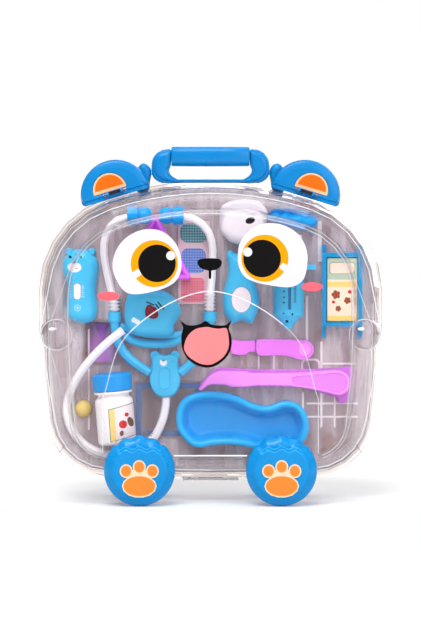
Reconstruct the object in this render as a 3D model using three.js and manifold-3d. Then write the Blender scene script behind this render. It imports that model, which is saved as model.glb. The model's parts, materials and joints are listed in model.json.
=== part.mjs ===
// A toy doctor case with a bear's face: two clear moulded shells on a bottom hinge, ears that latch
// them, a folding carrying handle, four paw wheels, and a tray that holds the toy instruments.
// Millimetres, +Z up, X to the right, the face towards -Y. The floor under the wheels is Z = 0.
import * as THREE from "three";
import { mergeVertices } from "three/addons/utils/BufferGeometryUtils.js";
import Module from "manifold-3d";

const wasm = await Module();
wasm.setup();

const { PI, sin, cos, sqrt, atan2, asin } = Math;

// Clearances between pieces.
const gap = 0.3;
const runningGap = 0.4;
const overrun = 2;
// Points nearer than this are one corner.
const weld = 1e-4;

// The outline of the case, seen from the front: arcs that run into each other.
const outline = {
  halfWidth: 135.3,
  clearance: 18.3,
  rise: 108,
  drop: 126.4,
  topRadius: 257.4,
  shoulderRadius: 78,
  upperFlankRadius: 682.5,
  lowerFlankRadius: 624,
  hipRadius: 51.5,
  floorRadius: 2184,
};
const widestHeight = outline.clearance + outline.drop;

// The section of one shell, from the seam outwards.
const shell = {
  wall: 1.6,
  flangeWidth: 2.4,
  flangeDepth: 3,
  beltInset: 4.6,
  beltDepth: 21,
  stepWidth: 2.2,
  stepDepth: 1.5,
  shoulderInset: 9.2,
  shoulderDepth: 32,
  brimInset: 14,
  brimDepth: 36.5,
  brimSag: 2,
  grooveInset: 20,
  grooveDepth: 37.5,
  grooveSag: 4.5,
  riseInset: 22,
  riseDepth: 42,
  panelInset: 24.5,
  panelDepth: 45,
  panelSag: 5.5,
};

// The belly arch, its ledge and the moulded hands on the front panel.
const belly = {
  halfWidth: 84.4,
  springHeight: -60.7,
  foot: -104.7,
  crown: 23.8,
  shoulderWidth: 66,
  shoulderHeight: -11.7,
  ridge: 1.3,
  relief: 1.1,
};
const hand = {
  inset: 15.3,
  drop: 11.1,
  radius: 13.4,
  toeRadius: 4.2,
  toeRelief: 3.6,
  toeReach: 17.4,
  toeAngle: PI / 6,
};
const ledge = { rise: 20.7, height: 1.6, relief: 1.2 };

const hinge = {
  drop: 0.4,
  barrelRadius: 2.3,
  pinRadius: 1,
  middleHalf: 14,
  outerHalf: 22,
};

const wheel = {
  acrossShare: 0.409,
  radius: 27.7,
  width: 10.4,
  backRound: 1.4,
  frontRound: [7.4, 5.6],
  faceRelief: 0.8,
  faceRadius: 22.4,
  waveHeight: 15.6,
  waveRelief: 1.1,
  waveRise: 1.6,
  toes: 3,
  toeSteps: 4,
  toeDent: 0.9,
  toeAngle: (14 * PI) / 180,
  wallGap: 0.5,
  wellGap: 1.5,
  bossRadius: 9,
  axleRadius: 3,
  axleHead: 5.4,
  headThickness: 1.5,
  cover: 3.4,
};
const wheelX = outline.halfWidth * wheel.acrossShare;
const print = { thickness: 0.4 };
const paw = {
  padWidth: 24.6,
  padHeight: 15.6,
  padDrop: 11.3,
  toeWidth: 7.8,
  toeHeight: 8.6,
  toeSpread: 10.2,
  sideToeRise: 0.4,
  middleToeRise: 3.6,
  border: 1.2,
  webDrop: 2.4,
};

const ear = {
  acrossShare: 0.55,
  radius: 27.4,
  front: 6.4,
  back: 2.8,
  edge: 2.8,
  seat: 0.5,
  cornerCut: 3.2,
  cornerRise: 4.2,
  inlayRadius: 13.6,
  inlayShift: 3.2,
  inlayDepth: 1.6,
  inlayRise: 0.6,
  inlayFoot: 1.2,
  barHeight: 2.8,
  windowHalf: 4.8,
  windowLow: 1.3,
  windowHeight: 2,
  windowDepth: 1.8,
  hookHalf: 9,
  hookTip: 2,
  hookThickness: 2.2,
  pivotDepth: 9.4,
  pivotRise: 2.2,
  pivotRadius: 2.1,
  pinRadius: 0.9,
  knuckleHalf: 6.4,
  lugWidth: 2.8,
};
const earAngle = asin((outline.halfWidth * ear.acrossShare) / outline.topRadius);

const handle = {
  pivotHeight: 6,
  depth: 13,
  halfWidth: 46.6,
  elbowEnd: 32.2,
  gripHalf: 30.8,
  gripHeight: 15.7,
  gripDepth: 12,
  gripCentre: 12.9,
  gripSquareness: 0.62,
  gripBore: 3.6,
  coreRadius: 3.2,
  elbowHeight: 12,
  elbowDepth: 11,
  shoulderShare: 0.72,
  barHeight: 2.9,
  barDepth: 6,
  barDrop: 5.1,
  footCut: 8.6,
  kneeCut: 3.6,
  kneeHeight: 4.4,
  neckRadius: 4.2,
  pinRadius: 1.6,
  pinReach: 5,
  edge: 1.8,
  lugWidth: 10,
  lugDepth: 12,
  lugRise: 7.6,
  lugFoot: 18,
  lugRound: 5.2,
  crownShares: [
    [-1, 0.9],
    [-0.965, 0.98],
    [-0.5, 0.995],
    [0, 1],
    [0.5, 0.995],
    [0.965, 0.98],
    [1, 0.9],
  ],
};

// Number of steps in the round stretches.
const steps = {
  top: 5,
  shoulder: 5,
  flank: 2,
  floor: 1,
  hip: 5,
  lowerFlank: 2,
  ring: 20,
  fine: 12,
  small: 8,
  outline: 24,
  arc: 7,
  corner: 3,
  curve: 5,
  round: 16,
  dish: 34,
  tube: 11,
  arm: 6,
  hose: 34,
};

const colours = {
  clear: 0xe9edf2,
  blue: 0x00a4f2,
  deepBlue: 0x0085d6,
  lightBlue: 0x50c6f8,
  orange: 0xff7a1c,
  cream: 0xffdcb8,
  purple: 0xe78af5,
  white: 0xf6f5f8,
  black: 0x141416,
  steel: 0xb8bcc2,
  salmon: 0xff8f92,
  yellow: 0xf0d468,
  card: 0xb79a92,
  mauve: 0xc4b4c6,
  paper: 0xf3d9de,
};

// Turns a closed geometry into a solid, with its faces outwards.
function solid(geometry) {
  const bare = geometry.index ? geometry.toNonIndexed() : geometry.clone();
  bare.deleteAttribute("normal");
  bare.deleteAttribute("uv");
  const merged = mergeVertices(bare, weld);
  return solidOf(merged.attributes.position.array, merged.index.array);
}

// A solid of shared corners and triangles, turned outwards where its faces point inwards.
function solidOf(corners, triangles) {
  const turned = signedVolume(corners, triangles) < 0;
  const swapped = (_, i) => triangles[i - (i % 3) + [0, 2, 1][i % 3]];
  const ordered = turned ? triangles.map(swapped) : triangles;
  return new wasm.Manifold(
    new wasm.Mesh({
      numProp: 3,
      vertProperties: new Float32Array(corners),
      triVerts: new Uint32Array(ordered),
    }),
  );
}

function signedVolume(corners, triangles) {
  const corner = (i) => new THREE.Vector3().fromArray(corners, 3 * triangles[i]);
  let sum = 0;
  for (let i = 0; i < triangles.length; i += 3) {
    sum += corner(i).dot(corner(i + 1).cross(corner(i + 2))) / 6;
  }
  return sum;
}

function geometryOf(made) {
  const mesh = made.getMesh();
  const geometry = new THREE.BufferGeometry();
  const corners = new Float32Array(mesh.vertProperties);
  geometry.setAttribute("position", new THREE.BufferAttribute(corners, 3));
  geometry.setIndex(new THREE.BufferAttribute(new Uint32Array(mesh.triVerts), 1));
  const facets = geometry.toNonIndexed();
  facets.computeVertexNormals();
  return facets;
}

function joined(...solids) {
  return solids.reduce((all, next) => all.add(next));
}

function without(body, ...cuts) {
  return cuts.reduce((left, cut) => left.subtract(cut), body);
}

// A named mesh of one solid.
function piece(name, made, colour, roughness = 0.3, metalness = 0) {
  const material = new THREE.MeshStandardMaterial({ color: colour, roughness, metalness });
  if (colour === colours.clear) {
    material.transparent = true;
    material.opacity = 0.25;
  }
  const mesh = new THREE.Mesh(geometryOf(made), material);
  mesh.name = name;
  return mesh;
}

// Closed skin through rings of equally many points, with flat fans over its two ends.
function loft(rings) {
  const count = rings[0].length;
  const points = rings.flat();
  const faces = [];
  for (let r = 0; r + 1 < rings.length; r += 1) {
    for (let i = 0; i < count; i += 1) {
      const a = r * count + i;
      const b = r * count + ((i + 1) % count);
      faces.push(a, b, a + count, b, b + count, a + count);
    }
  }
  for (const [start, side] of [[0, 1], [(rings.length - 1) * count, -1]]) {
    const middle = new THREE.Vector3();
    for (const point of points.slice(start, start + count)) middle.addScaledVector(point, 1 / count);
    const centre = points.push(middle) - 1;
    for (let i = 0; i < count; i += 1) {
      const a = start + i;
      const b = start + ((i + 1) % count);
      if (side > 0) faces.push(centre, b, a);
      else faces.push(centre, a, b);
    }
  }
  return solidOf(points.flatMap((p) => p.toArray()), faces);
}

// The points of a shape, anticlockwise and without those that repeat the one before.
function tidyPoints(shape, curveSegments) {
  const points = shape.getPoints(curveSegments);
  const kept = points.filter((p, i) => p.distanceTo(points[(i + 1) % points.length]) > gap / 100);
  return THREE.ShapeUtils.area(kept) < 0 ? kept.reverse() : kept;
}

// Each point of a closed outline moved inwards, square to its two sides. A sharp corner moves by no
// more than twice the inset.
function drawnIn(points, inset) {
  const sharpest = 1 / 2;
  return points.map((point, i) => {
    const before = points[(i + points.length - 1) % points.length];
    const after = points[(i + 1) % points.length];
    const a = point.clone().sub(before).normalize();
    const b = after.clone().sub(point).normalize();
    const inward = new THREE.Vector2(-a.y - b.y, a.x + b.x).normalize();
    const square = Math.abs(inward.dot(new THREE.Vector2(-a.y, a.x)));
    const reach = inset / Math.max(sharpest, square);
    return point.clone().addScaledVector(inward, reach);
  });
}

// A flat shape drawn in X and Z, from back to back - thickness along Y, with rounded edges.
function plate(shape, back, thickness, round = 0, curveSegments = steps.small, roundBack = true) {
  const outlinePoints = tidyPoints(shape, curveSegments);
  const half = sqrt(1 / 2);
  const edge = [
    [round, 0],
    [round * (1 - half), round * (1 - half)],
    [0, round],
  ];
  const turnedEdge = edge.map(([inset, down]) => [inset, thickness - down]).reverse();
  const start = round > 0 && roundBack ? edge : [[0, 0]];
  const end = round > 0 ? turnedEdge : [[0, thickness]];
  const layers = [...start, ...end];
  const count = outlinePoints.length;
  const corners = layers.flatMap(([inset, down]) =>
    drawnIn(outlinePoints, inset).flatMap((p) => [p.x, back - down, p.y]),
  );
  const faces = [];
  for (let r = 0; r + 1 < layers.length; r += 1) {
    for (let i = 0; i < count; i += 1) {
      const a = r * count + i;
      const b = r * count + ((i + 1) % count);
      faces.push(a, a + count, b, b, a + count, b + count);
    }
  }
  const last = (layers.length - 1) * count;
  for (const [a, b, c] of THREE.ShapeUtils.triangulateShape(outlinePoints, [])) {
    faces.push(a, b, c, last + a, last + c, last + b);
  }
  return solidOf(corners, faces);
}

function box(x0, x1, y0, y1, z0, z1) {
  const geometry = new THREE.BoxGeometry(x1 - x0, y1 - y0, z1 - z0);
  geometry.translate((x0 + x1) / 2, (y0 + y1) / 2, (z0 + z1) / 2);
  return solid(geometry);
}

// A round bar along X, Y or Z, between two places on that axis.
function bar(axis, radius, from, to, centre, sides = steps.small) {
  const geometry = new THREE.CylinderGeometry(radius, radius, to - from, sides);
  const middle = (from + to) / 2;
  const [a, b] = centre;
  if (axis === "x") geometry.rotateZ(PI / 2).translate(middle, a, b);
  if (axis === "y") geometry.translate(a, middle, b);
  if (axis === "z") geometry.rotateX(PI / 2).translate(a, b, middle);
  return solid(geometry);
}

// A turned body about the Y axis through (x, z): profile points are [radius, y].
function turned(profile, x, z, sides = steps.ring) {
  const points = profile.map(([radius, y]) => new THREE.Vector2(radius, y));
  const geometry = new THREE.LatheGeometry(points, sides);
  geometry.translate(x, 0, z);
  return solid(geometry);
}

function ellipse(x, z, halfWidth, halfHeight) {
  const shape = new THREE.Shape();
  shape.absellipse(x, z, halfWidth, halfHeight, 0, 2 * PI);
  return shape;
}

function roundedBox(x0, x1, z0, z1, round) {
  const shape = new THREE.Shape();
  shape.moveTo(x0 + round, z0);
  shape.lineTo(x1 - round, z0);
  shape.absarc(x1 - round, z0 + round, round, -PI / 2, 0);
  shape.lineTo(x1, z1 - round);
  shape.absarc(x1 - round, z1 - round, round, 0, PI / 2);
  shape.lineTo(x0 + round, z1);
  shape.absarc(x0 + round, z1 - round, round, PI / 2, PI);
  shape.lineTo(x0, z0 + round);
  shape.absarc(x0 + round, z0 + round, round, PI, (3 * PI) / 2);
  return shape;
}

// A smooth closed outline through shares of a width and a height about a centre.
function smooth(shares, x, z, width, height, count) {
  const curve = new THREE.CatmullRomCurve3(
    shares.map(([across, up]) => new THREE.Vector3(x + across * width, z + up * height, 0)),
    true,
  );
  const points = curve.getPoints(count).slice(0, -1);
  return new THREE.Shape(points.map((p) => new THREE.Vector2(p.x, p.y)));
}

// A quarter of the outline: a crown arc, a corner arc and a side arc, each tangent to the next,
// drawn back by an inset. Points run from the middle line to the widest place.
function quarter(halfWidth, height, [crownRadius, cornerRadius, sideRadius], inset, counts) {
  const crown = new THREE.Vector2(0, height - crownRadius);
  const side = new THREE.Vector2(halfWidth - sideRadius, 0);
  const between = side.clone().sub(crown);
  const length = between.length();
  const crownReach = crownRadius - cornerRadius;
  const sideReach = sideRadius - cornerRadius;
  const along = (length * length + crownReach * crownReach - sideReach * sideReach) / (2 * length);
  const away = sqrt(crownReach * crownReach - along * along);
  const unit = between.divideScalar(length);
  const corner = new THREE.Vector2(
    crown.x + unit.x * along + unit.y * away,
    crown.y + unit.y * along - unit.x * away,
  );
  const first = atan2(corner.y - crown.y, corner.x - crown.x);
  const second = atan2(corner.y - side.y, corner.x - side.x);
  const arcs = [
    [crown, crownRadius, PI / 2, first, counts[0]],
    [corner, cornerRadius, first, second, counts[1]],
    [side, sideRadius, second, 0, counts[2]],
  ];
  return arcs.flatMap(([centre, radius, from, to, count]) =>
    Array.from({ length: count }, (_, i) => {
      const angle = from + ((to - from) * i) / count;
      return new THREE.Vector2(
        centre.x + (radius - inset) * cos(angle),
        centre.y + (radius - inset) * sin(angle),
      );
    }),
  );
}

// The outline of the case drawn back by an inset, as a closed ring of points at one depth.
function caseRing(inset, y, sag = 0) {
  const o = outline;
  const upperSteps = [steps.top, steps.shoulder, steps.flank];
  const lowerSteps = [steps.floor, steps.hip, steps.lowerFlank];
  const upperRadii = [o.topRadius, o.shoulderRadius, o.upperFlankRadius];
  const lowerRadii = [o.floorRadius, o.hipRadius, o.lowerFlankRadius];
  const upper = quarter(o.halfWidth, o.rise, upperRadii, inset, upperSteps);
  const lower = quarter(o.halfWidth, o.drop + sag, lowerRadii, inset, lowerSteps);
  const widest = new THREE.Vector2(o.halfWidth - inset, 0);
  const right = [...upper, widest, ...lower.map((p) => new THREE.Vector2(p.x, -p.y)).reverse()];
  const left = right.slice(1, -1).map((p) => new THREE.Vector2(-p.x, p.y)).reverse();
  return [...right, ...left].map((p) => new THREE.Vector3(p.x, y, widestHeight + p.y));
}

// The shell sections as [inset, depth, sag] from the seam to the flat front or back panel.
function outerSection() {
  const s = shell;
  return [
    [0, 0, 0],
    [0, s.flangeDepth, 0],
    [s.flangeWidth, s.flangeDepth, 0],
    [s.beltInset, s.beltDepth, 0],
    [s.beltInset + s.stepWidth, s.beltDepth + s.stepDepth, 0],
    [s.shoulderInset, s.shoulderDepth, 0],
    [s.brimInset, s.brimDepth, s.brimSag],
    [s.grooveInset, s.grooveDepth, s.grooveSag],
    [s.riseInset, s.riseDepth, s.panelSag],
    [s.panelInset, s.panelDepth, s.panelSag],
  ];
}

function innerSection() {
  const s = shell;
  const body = outerSection().slice(3);
  return [
    [s.flangeWidth + s.wall, 0, 0],
    ...body.map(([inset, depth, sag]) => [inset + s.wall, depth - s.wall, sag]),
  ];
}

// One moulded half of the case: side is -1 for the front and 1 for the back.
function halfShell(side, bosses = [], hollows = []) {
  const seam = (side * gap) / 2;
  const ring = ([inset, depth, sag]) => caseRing(inset, seam + side * depth, sag);
  const rings = (section) => section.map(ring);
  const opened = caseRing(shell.flangeWidth + shell.wall, seam - side * overrun);
  let outer = joined(loft(rings(outerSection())), ...bosses);
  let inner = joined(loft([opened, ...rings(innerSection())]), ...hollows);
  const floor = side * (shell.grooveDepth + gap / 2);
  const outside = side * (shell.panelDepth + overrun);
  const inside = floor - side * shell.wall;
  const root = side * shell.beltDepth;
  const well = wheel.radius + wheel.wellGap;
  const innerBoss = wheel.bossRadius - shell.wall;
  for (const x of [-wheelX, wheelX]) {
    outer = outer.subtract(yBar(well, floor, outside, x, wheel.radius, steps.round));
    inner = inner.subtract(yBar(well + shell.wall, inside, outside, x, wheel.radius, steps.round));
    outer = outer.add(yBar(wheel.bossRadius, root, floor, x, wheel.radius));
    inner = inner.add(yBar(innerBoss, root - side * shell.wall, inside, x, wheel.radius));
  }
  const axleHoles = [-wheelX, wheelX].map((x) =>
    yBar(wheel.axleRadius + gap, inside - side * overrun, floor + side * overrun, x, wheel.radius),
  );
  return without(outer, inner, ...axleHoles);
}

function yBar(radius, from, to, x, z, sides = steps.fine) {
  return bar("y", radius, Math.min(from, to), Math.max(from, to), [x, z], sides);
}

const bottom = widestHeight - outline.drop;
const hingeHeight = bottom - hinge.drop;
const panelFace = -(shell.panelDepth + gap / 2);

// Knuckles of the bottom hinge. The ranges are [from, to] along X, and side is the half they carry.
function knuckles(side, ranges) {
  return joined(
    ...ranges.map(([from, to]) => {
      const barrel = bar("x", hinge.barrelRadius, from, to, [0, hingeHeight], steps.fine);
      const near = side * gap;
      const far = side * hinge.barrelRadius;
      const root = bottom + shell.flangeWidth + shell.wall;
      const arm = box(from, to, Math.min(near, far), Math.max(near, far), hingeHeight, root);
      return barrel.add(arm);
    }),
  );
}

function hingeCut(side, from, to) {
  const near = -side * overrun;
  const far = side * (hinge.barrelRadius + runningGap);
  const top = hingeHeight + hinge.barrelRadius + runningGap;
  return box(from, to, Math.min(near, far), Math.max(near, far), bottom - overrun, top);
}

const middleKnuckle = [-hinge.middleHalf, hinge.middleHalf];
const outerKnuckles = [
  [-hinge.outerHalf, -hinge.middleHalf - runningGap],
  [hinge.middleHalf + runningGap, hinge.outerHalf],
];

// A round bar on the axis of the bottom hinge.
function hingeBar(radius, reach) {
  return bar("x", radius, -reach, reach, [0, hingeHeight], steps.fine);
}

function pinHole() {
  return hingeBar(hinge.pinRadius + gap, hinge.outerHalf + overrun);
}

// Shape of a raised arch: straight sides, and a crown that the points run over.
function archShape(inset) {
  const b = belly;
  const side = b.halfWidth - inset;
  const shoulder = b.shoulderWidth - inset;
  const crownCurve = new THREE.CatmullRomCurve3([
    new THREE.Vector3(side, b.springHeight),
    new THREE.Vector3(shoulder, b.shoulderHeight),
    new THREE.Vector3(0, b.crown - inset),
    new THREE.Vector3(-shoulder, b.shoulderHeight),
    new THREE.Vector3(-side, b.springHeight),
  ]);
  const feet = [new THREE.Vector3(-side, b.foot), new THREE.Vector3(side, b.foot)];
  const points = [...crownCurve.getPoints(steps.fine), ...feet];
  return new THREE.Shape(points.map((p) => new THREE.Vector2(p.x * fit, widestHeight + p.y * fit)));
}

// The moulded hand is a ball on the shoulder with three small toes on the panel, all of one skin.
function handBalls(side, wall) {
  const centre = outline.halfWidth - hand.inset;
  const height = widestHeight - hand.drop;
  const palm = ball(hand.radius - wall, side * centre, -shell.shoulderDepth, height);
  if (wall > 0) return [palm];
  const toeY = panelFace + hand.toeRadius - hand.toeRelief;
  const toes = [-hand.toeAngle, 0, hand.toeAngle].map((angle) => {
    const x = side * (centre - hand.toeReach * cos(angle));
    return ball(hand.toeRadius, x, toeY, height + hand.toeReach * sin(angle), steps.small);
  });
  return [palm, ...toes];
}

function ball(radius, x, y, z, sides = steps.fine) {
  const geometry = new THREE.SphereGeometry(radius, sides, sides / 2);
  geometry.rotateX(PI / 2).translate(x, y, z);
  return solid(geometry);
}

function frontShell() {
  const bosses = (wall) => [...handBalls(-1, wall), ...handBalls(1, wall)];
  const lid = halfShell(-1, bosses(0), bosses(shell.wall));
  const sunk = panelFace + shell.wall / 2;
  const ridge = plate(archShape(0), sunk, shell.wall / 2 + belly.relief).subtract(
    plate(archShape(belly.ridge), sunk + overrun, shell.wall + belly.relief + 2 * overrun),
  );
  const ledgeLow = bottom + ledge.rise;
  const ledgeEnd = wheelX - sqrt(wheel.radius ** 2 - (ledgeLow - wheel.radius) ** 2) - gap;
  const ledgeFront = panelFace - ledge.relief;
  const step = box(-ledgeEnd, ledgeEnd, ledgeFront, sunk, ledgeLow, ledgeLow + ledge.height);
  const cuts = outerKnuckles.map(([from, to]) => hingeCut(-1, from - runningGap, to + runningGap));
  const moulded = without(joined(lid, ridge, step), ...cuts);
  const hinged = joined(moulded, knuckles(-1, [middleKnuckle]), ...latchLugs());
  return without(hinged, pinHole(), ...latchPinHoles());
}

function rearShell() {
  const back = halfShell(1);
  const cuts = [hingeCut(1, middleKnuckle[0] - runningGap, middleKnuckle[1] + runningGap)];
  const moulded = without(back, ...cuts, ...latchNotches());
  return without(joined(moulded, knuckles(1, outerKnuckles)), pinHole());
}

function hingePin() {
  return hingeBar(hinge.pinRadius, hinge.outerHalf);
}

// The paw wheel: a disc with a well rounded front edge whose top is a row of three soft toes, a
// raised face, and a blind bore for its stub axle. Its back is at y = 0 and its front at -width.
function wheelSolid() {
  const w = wheel;
  const [round, depth] = w.frontRound;
  const front = w.faceRelief - w.width;
  const profile = [
    [w.radius - w.backRound, 0, 0],
    [w.radius, -w.backRound, 1 / 2],
  ];
  for (let i = 0; i <= steps.corner; i += 1) {
    const angle = (PI * i) / (2 * steps.corner);
    const reach = w.radius - round + round * cos(angle);
    profile.push([reach, front + depth - depth * sin(angle), cos(angle)]);
  }
  const disc = loft(profile.map((place) => wheelRing(...place)));
  const face = plate(wavedFace(), -w.width / 2, w.width / 2, w.waveRelief / 2, steps.arc, false);
  const bore = yBar(w.axleRadius + runningGap, -w.width + w.cover, overrun, 0, 0, steps.fine);
  return without(joined(disc, face), bore);
}

// A ring of points round the wheel, with the dents between its toes by a share of their depth.
function wheelRing(radius, y, dentShare) {
  const w = wheel;
  const half = w.toes * w.toeAngle;
  const count = w.toes * w.toeSteps;
  const start = PI / 2 - half;
  const across = Array.from({ length: count + 1 }, (_, i) => start + (2 * half * i) / count);
  const restStep = (2 * PI - 2 * half) / steps.fine;
  const rest = Array.from({ length: steps.fine - 1 }, (_, i) => PI / 2 + half + (i + 1) * restStep);
  return [...across, ...rest].map((angle, i) => {
    const between = i <= count ? (1 + cos((2 * PI * i) / w.toeSteps)) / 2 : 0;
    const reach = radius - w.toeDent * dentShare * between;
    return new THREE.Vector3(reach * cos(angle), y, reach * sin(angle));
  });
}

// A round face whose top is a row of three soft lobes.
function wavedFace() {
  const w = wheel;
  const start = asin(w.waveHeight / w.faceRadius);
  const reach = w.faceRadius * cos(start);
  const shape = new THREE.Shape();
  shape.absarc(0, 0, w.faceRadius, PI - start, 2 * PI + start, false);
  const count = w.toes * w.toeSteps;
  for (let i = 1; i < count; i += 1) {
    const share = i / count;
    const lift = w.waveRelief * (1 - cos(2 * PI * w.toes * share)) + w.waveRise * sin(PI * share);
    shape.lineTo(reach - 2 * reach * share, w.waveHeight + lift);
  }
  return shape;
}

// The paw on the front wheels: a pad and three toes, one thin print with its border.
function pawPrint() {
  const p = paw;
  const back = -wheel.width - gap;
  const spots = [
    [0, -p.padDrop, p.padWidth, p.padHeight],
    [-p.toeSpread, p.sideToeRise, p.toeWidth, p.toeHeight],
    [0, p.middleToeRise, p.toeWidth, p.toeHeight],
    [p.toeSpread, p.sideToeRise, p.toeWidth, p.toeHeight],
    [0, -p.webDrop, 2 * p.toeSpread, p.toeHeight - 2 * p.border],
  ];
  const shapes = spots.map(([x, z, width, height]) => {
    const shape = ellipse(x, z, width / 2 + p.border, height / 2 + p.border);
    return plate(shape, back, print.thickness, 0, steps.arc);
  });
  return joined(...shapes);
}

// The stub axle: a pin through the wall of the shell with a head inside, and its tip in the wheel.
function axleSolid() {
  const w = wheel;
  const headFront = w.wallGap + shell.wall + gap;
  const tip = -w.width + w.cover + runningGap;
  const pin = yBar(w.axleRadius, tip, headFront + overrun / 2, 0, 0, steps.fine);
  const head = yBar(w.axleHead, headFront, headFront + w.headThickness, 0, 0, steps.fine);
  return pin.add(head);
}

// A wheel and its axle at one corner. Side is -1 at the front and 1 at the back.
function wheelSet(side, across, name) {
  const group = new THREE.Group();
  const depth = shell.grooveDepth + gap / 2 + wheel.wallGap;
  group.position.set(across * wheelX, side * depth, wheel.radius);
  if (side > 0) group.rotation.z = PI;
  group.add(piece(`wheel_${name}`, wheelSolid(), colours.blue));
  group.add(piece(`axle_${name}`, axleSolid(), colours.steel, 0.25, 0.9));
  if (side < 0) group.add(piece(`paw_print_${name}`, pawPrint(), colours.orange));
  return group;
}

// Where an ear sits: on the crown arc of the outline, square to it. Local X runs along the rim,
// local Z away from the case, and local Y = 0 is the seam.
function earGroup(across) {
  const group = new THREE.Group();
  const radius = outline.topRadius;
  const centre = widestHeight + outline.rise - radius;
  group.position.set(across * radius * sin(earAngle), 0, centre + radius * cos(earAngle));
  group.rotation.y = across * earAngle;
  return group;
}

const earPivot = [-ear.pivotDepth, ear.pivotRise];

// The ear latch: a half disc with a recess for its inlay, standing on a bar whose nib drops behind
// a notch in the flange of the back shell. It turns on a pin between the lugs of the front shell.
function earSolid(across) {
  const e = ear;
  const low = e.seat + e.barHeight;
  const half = new THREE.Shape();
  const start = asin((e.seat + e.cornerRise) / e.radius);
  half.absarc(0, 0, e.radius, start, PI - start, false);
  half.quadraticCurveTo(-e.radius, e.seat, -e.radius + e.cornerCut, e.seat);
  half.lineTo(e.radius - e.cornerCut, e.seat);
  half.quadraticCurveTo(e.radius, e.seat, e.radius * cos(start), e.radius * sin(start));
  const disc = plate(half, e.back, e.back + e.front, e.edge, steps.arc);
  const recessBack = e.inlayDepth - e.front;
  const recess = plate(inlayShape(across, 0), recessBack, e.inlayDepth + overrun, 0, steps.arc);
  const windowLow = e.seat + e.windowLow;
  const slot = box(
    -e.windowHalf,
    e.windowHalf,
    -e.front - overrun,
    e.windowDepth - e.front,
    windowLow,
    windowLow + e.windowHeight,
  );
  const hookBack = shell.flangeDepth + gap + gap / 2;
  const hookEnd = hookBack + e.hookThickness;
  const hook = joined(
    box(-e.hookHalf, e.hookHalf, 0, hookEnd, e.seat, low),
    box(-e.hookHalf, e.hookHalf, hookBack, hookEnd, -e.hookTip, low),
  );
  const arm = box(-e.knuckleHalf, e.knuckleHalf, -e.pivotDepth, 0, e.pivotRise - e.pivotRadius / 2, low);
  const knuckle = bar("x", e.pivotRadius, -e.knuckleHalf, e.knuckleHalf, earPivot, steps.fine);
  const hole = bar("x", e.pinRadius + gap, -e.radius, e.radius, earPivot, steps.small);
  return without(joined(disc, hook, arm, knuckle), recess, slot, hole);
}

// The inlay of an ear: a half disc that sits nearer the outer end.
function inlayShape(across, inset) {
  const e = ear;
  const x = across * e.inlayShift;
  const low = e.seat + e.barHeight + e.inlayRise;
  const shape = new THREE.Shape();
  shape.absarc(x, low + e.inlayFoot, e.inlayRadius - inset, 0, PI, false);
  shape.lineTo(x - e.inlayRadius + inset, low + inset);
  shape.lineTo(x + e.inlayRadius - inset, low + inset);
  return shape;
}

function inlaySolid(across) {
  return plate(inlayShape(across, gap), -ear.front + ear.inlayDepth - gap, ear.inlayDepth, 0, steps.arc);
}

// Lugs of the front shell on both sides of the knuckle of each ear, in the frame of the ear.
function lugSolid() {
  const e = ear;
  const near = e.knuckleHalf + runningGap;
  const pair = [-1, 1].map((end) => {
    const from = end > 0 ? near : -near - e.lugWidth;
    const round = bar("x", e.pivotRadius, from, from + e.lugWidth, earPivot, steps.fine);
    const foot = box(
      from,
      from + e.lugWidth,
      -e.pivotDepth - e.pivotRadius,
      -e.pivotDepth + e.pivotRadius,
      -shell.beltInset - shell.wall / 2,
      e.pivotRise,
    );
    return round.add(foot);
  });
  return joined(...pair);
}

// A solid of the frame of an ear, moved to where that ear sits.
function atEar(across, made) {
  const group = earGroup(across);
  group.updateMatrix();
  return made.transform(group.matrix.elements);
}

function latchLugs() {
  return [-1, 1].map((across) => atEar(across, lugSolid()));
}

function latchPinHoles() {
  const reach = ear.knuckleHalf + runningGap + ear.lugWidth + overrun;
  const hole = bar("x", ear.pinRadius + gap, -reach, reach, earPivot);
  return [-1, 1].map((across) => atEar(across, hole));
}

// The notches in the flange of the back shell that the nibs of the ears lie in.
function latchNotches() {
  const half = ear.hookHalf + gap;
  const back = shell.flangeDepth + gap;
  const notch = box(-half, half, -overrun, back, -ear.hookTip - gap, overrun);
  return [-1, 1].map((across) => atEar(across, notch));
}

function latchPin() {
  const reach = ear.knuckleHalf + runningGap + ear.lugWidth;
  return bar("x", ear.pinRadius, -reach, reach, earPivot);
}

function earSet(across, name) {
  const group = earGroup(across);
  group.add(piece(`ear_latch_${name}`, earSolid(across), colours.blue));
  group.add(piece(`ear_inlay_${name}`, inlaySolid(across), colours.orange));
  group.add(piece(`latch_pin_${name}`, latchPin(), colours.steel, 0.25, 0.9));
  return group;
}

// Where the handle turns: its local origin lies on the pivot axis.
const handlePivot = [0, handle.depth, widestHeight + outline.rise + handle.pivotHeight];

// One elbow of the bail, from the end of the grip round to the low bar.
function elbow(across) {
  const h = handle;
  const top = h.gripCentre + h.elbowHeight / 2;
  const under = h.gripCentre - h.elbowHeight / 2;
  const low = -h.barDrop - h.barHeight;
  const shape = new THREE.Shape();
  const knee = h.kneeHeight / 2;
  const reach = h.elbowEnd + (h.halfWidth - h.elbowEnd) * h.shoulderShare;
  const start = h.elbowEnd - h.kneeCut;
  shape.moveTo(h.elbowEnd, top);
  shape.bezierCurveTo(reach, top, h.halfWidth, h.gripCentre, h.halfWidth, h.neckRadius / 2);
  shape.quadraticCurveTo(h.halfWidth, low + knee, h.halfWidth - h.footCut, low);
  shape.lineTo(start, low);
  shape.lineTo(start, -h.barDrop);
  shape.quadraticCurveTo(h.elbowEnd + h.kneeCut / 2, knee - h.barDrop, h.elbowEnd, under);
  const points = shape.getPoints(steps.curve).map((p) => new THREE.Vector2(across * p.x, p.y));
  return plate(new THREE.Shape(points), h.elbowDepth / 2, h.elbowDepth, h.edge, steps.corner);
}

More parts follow.
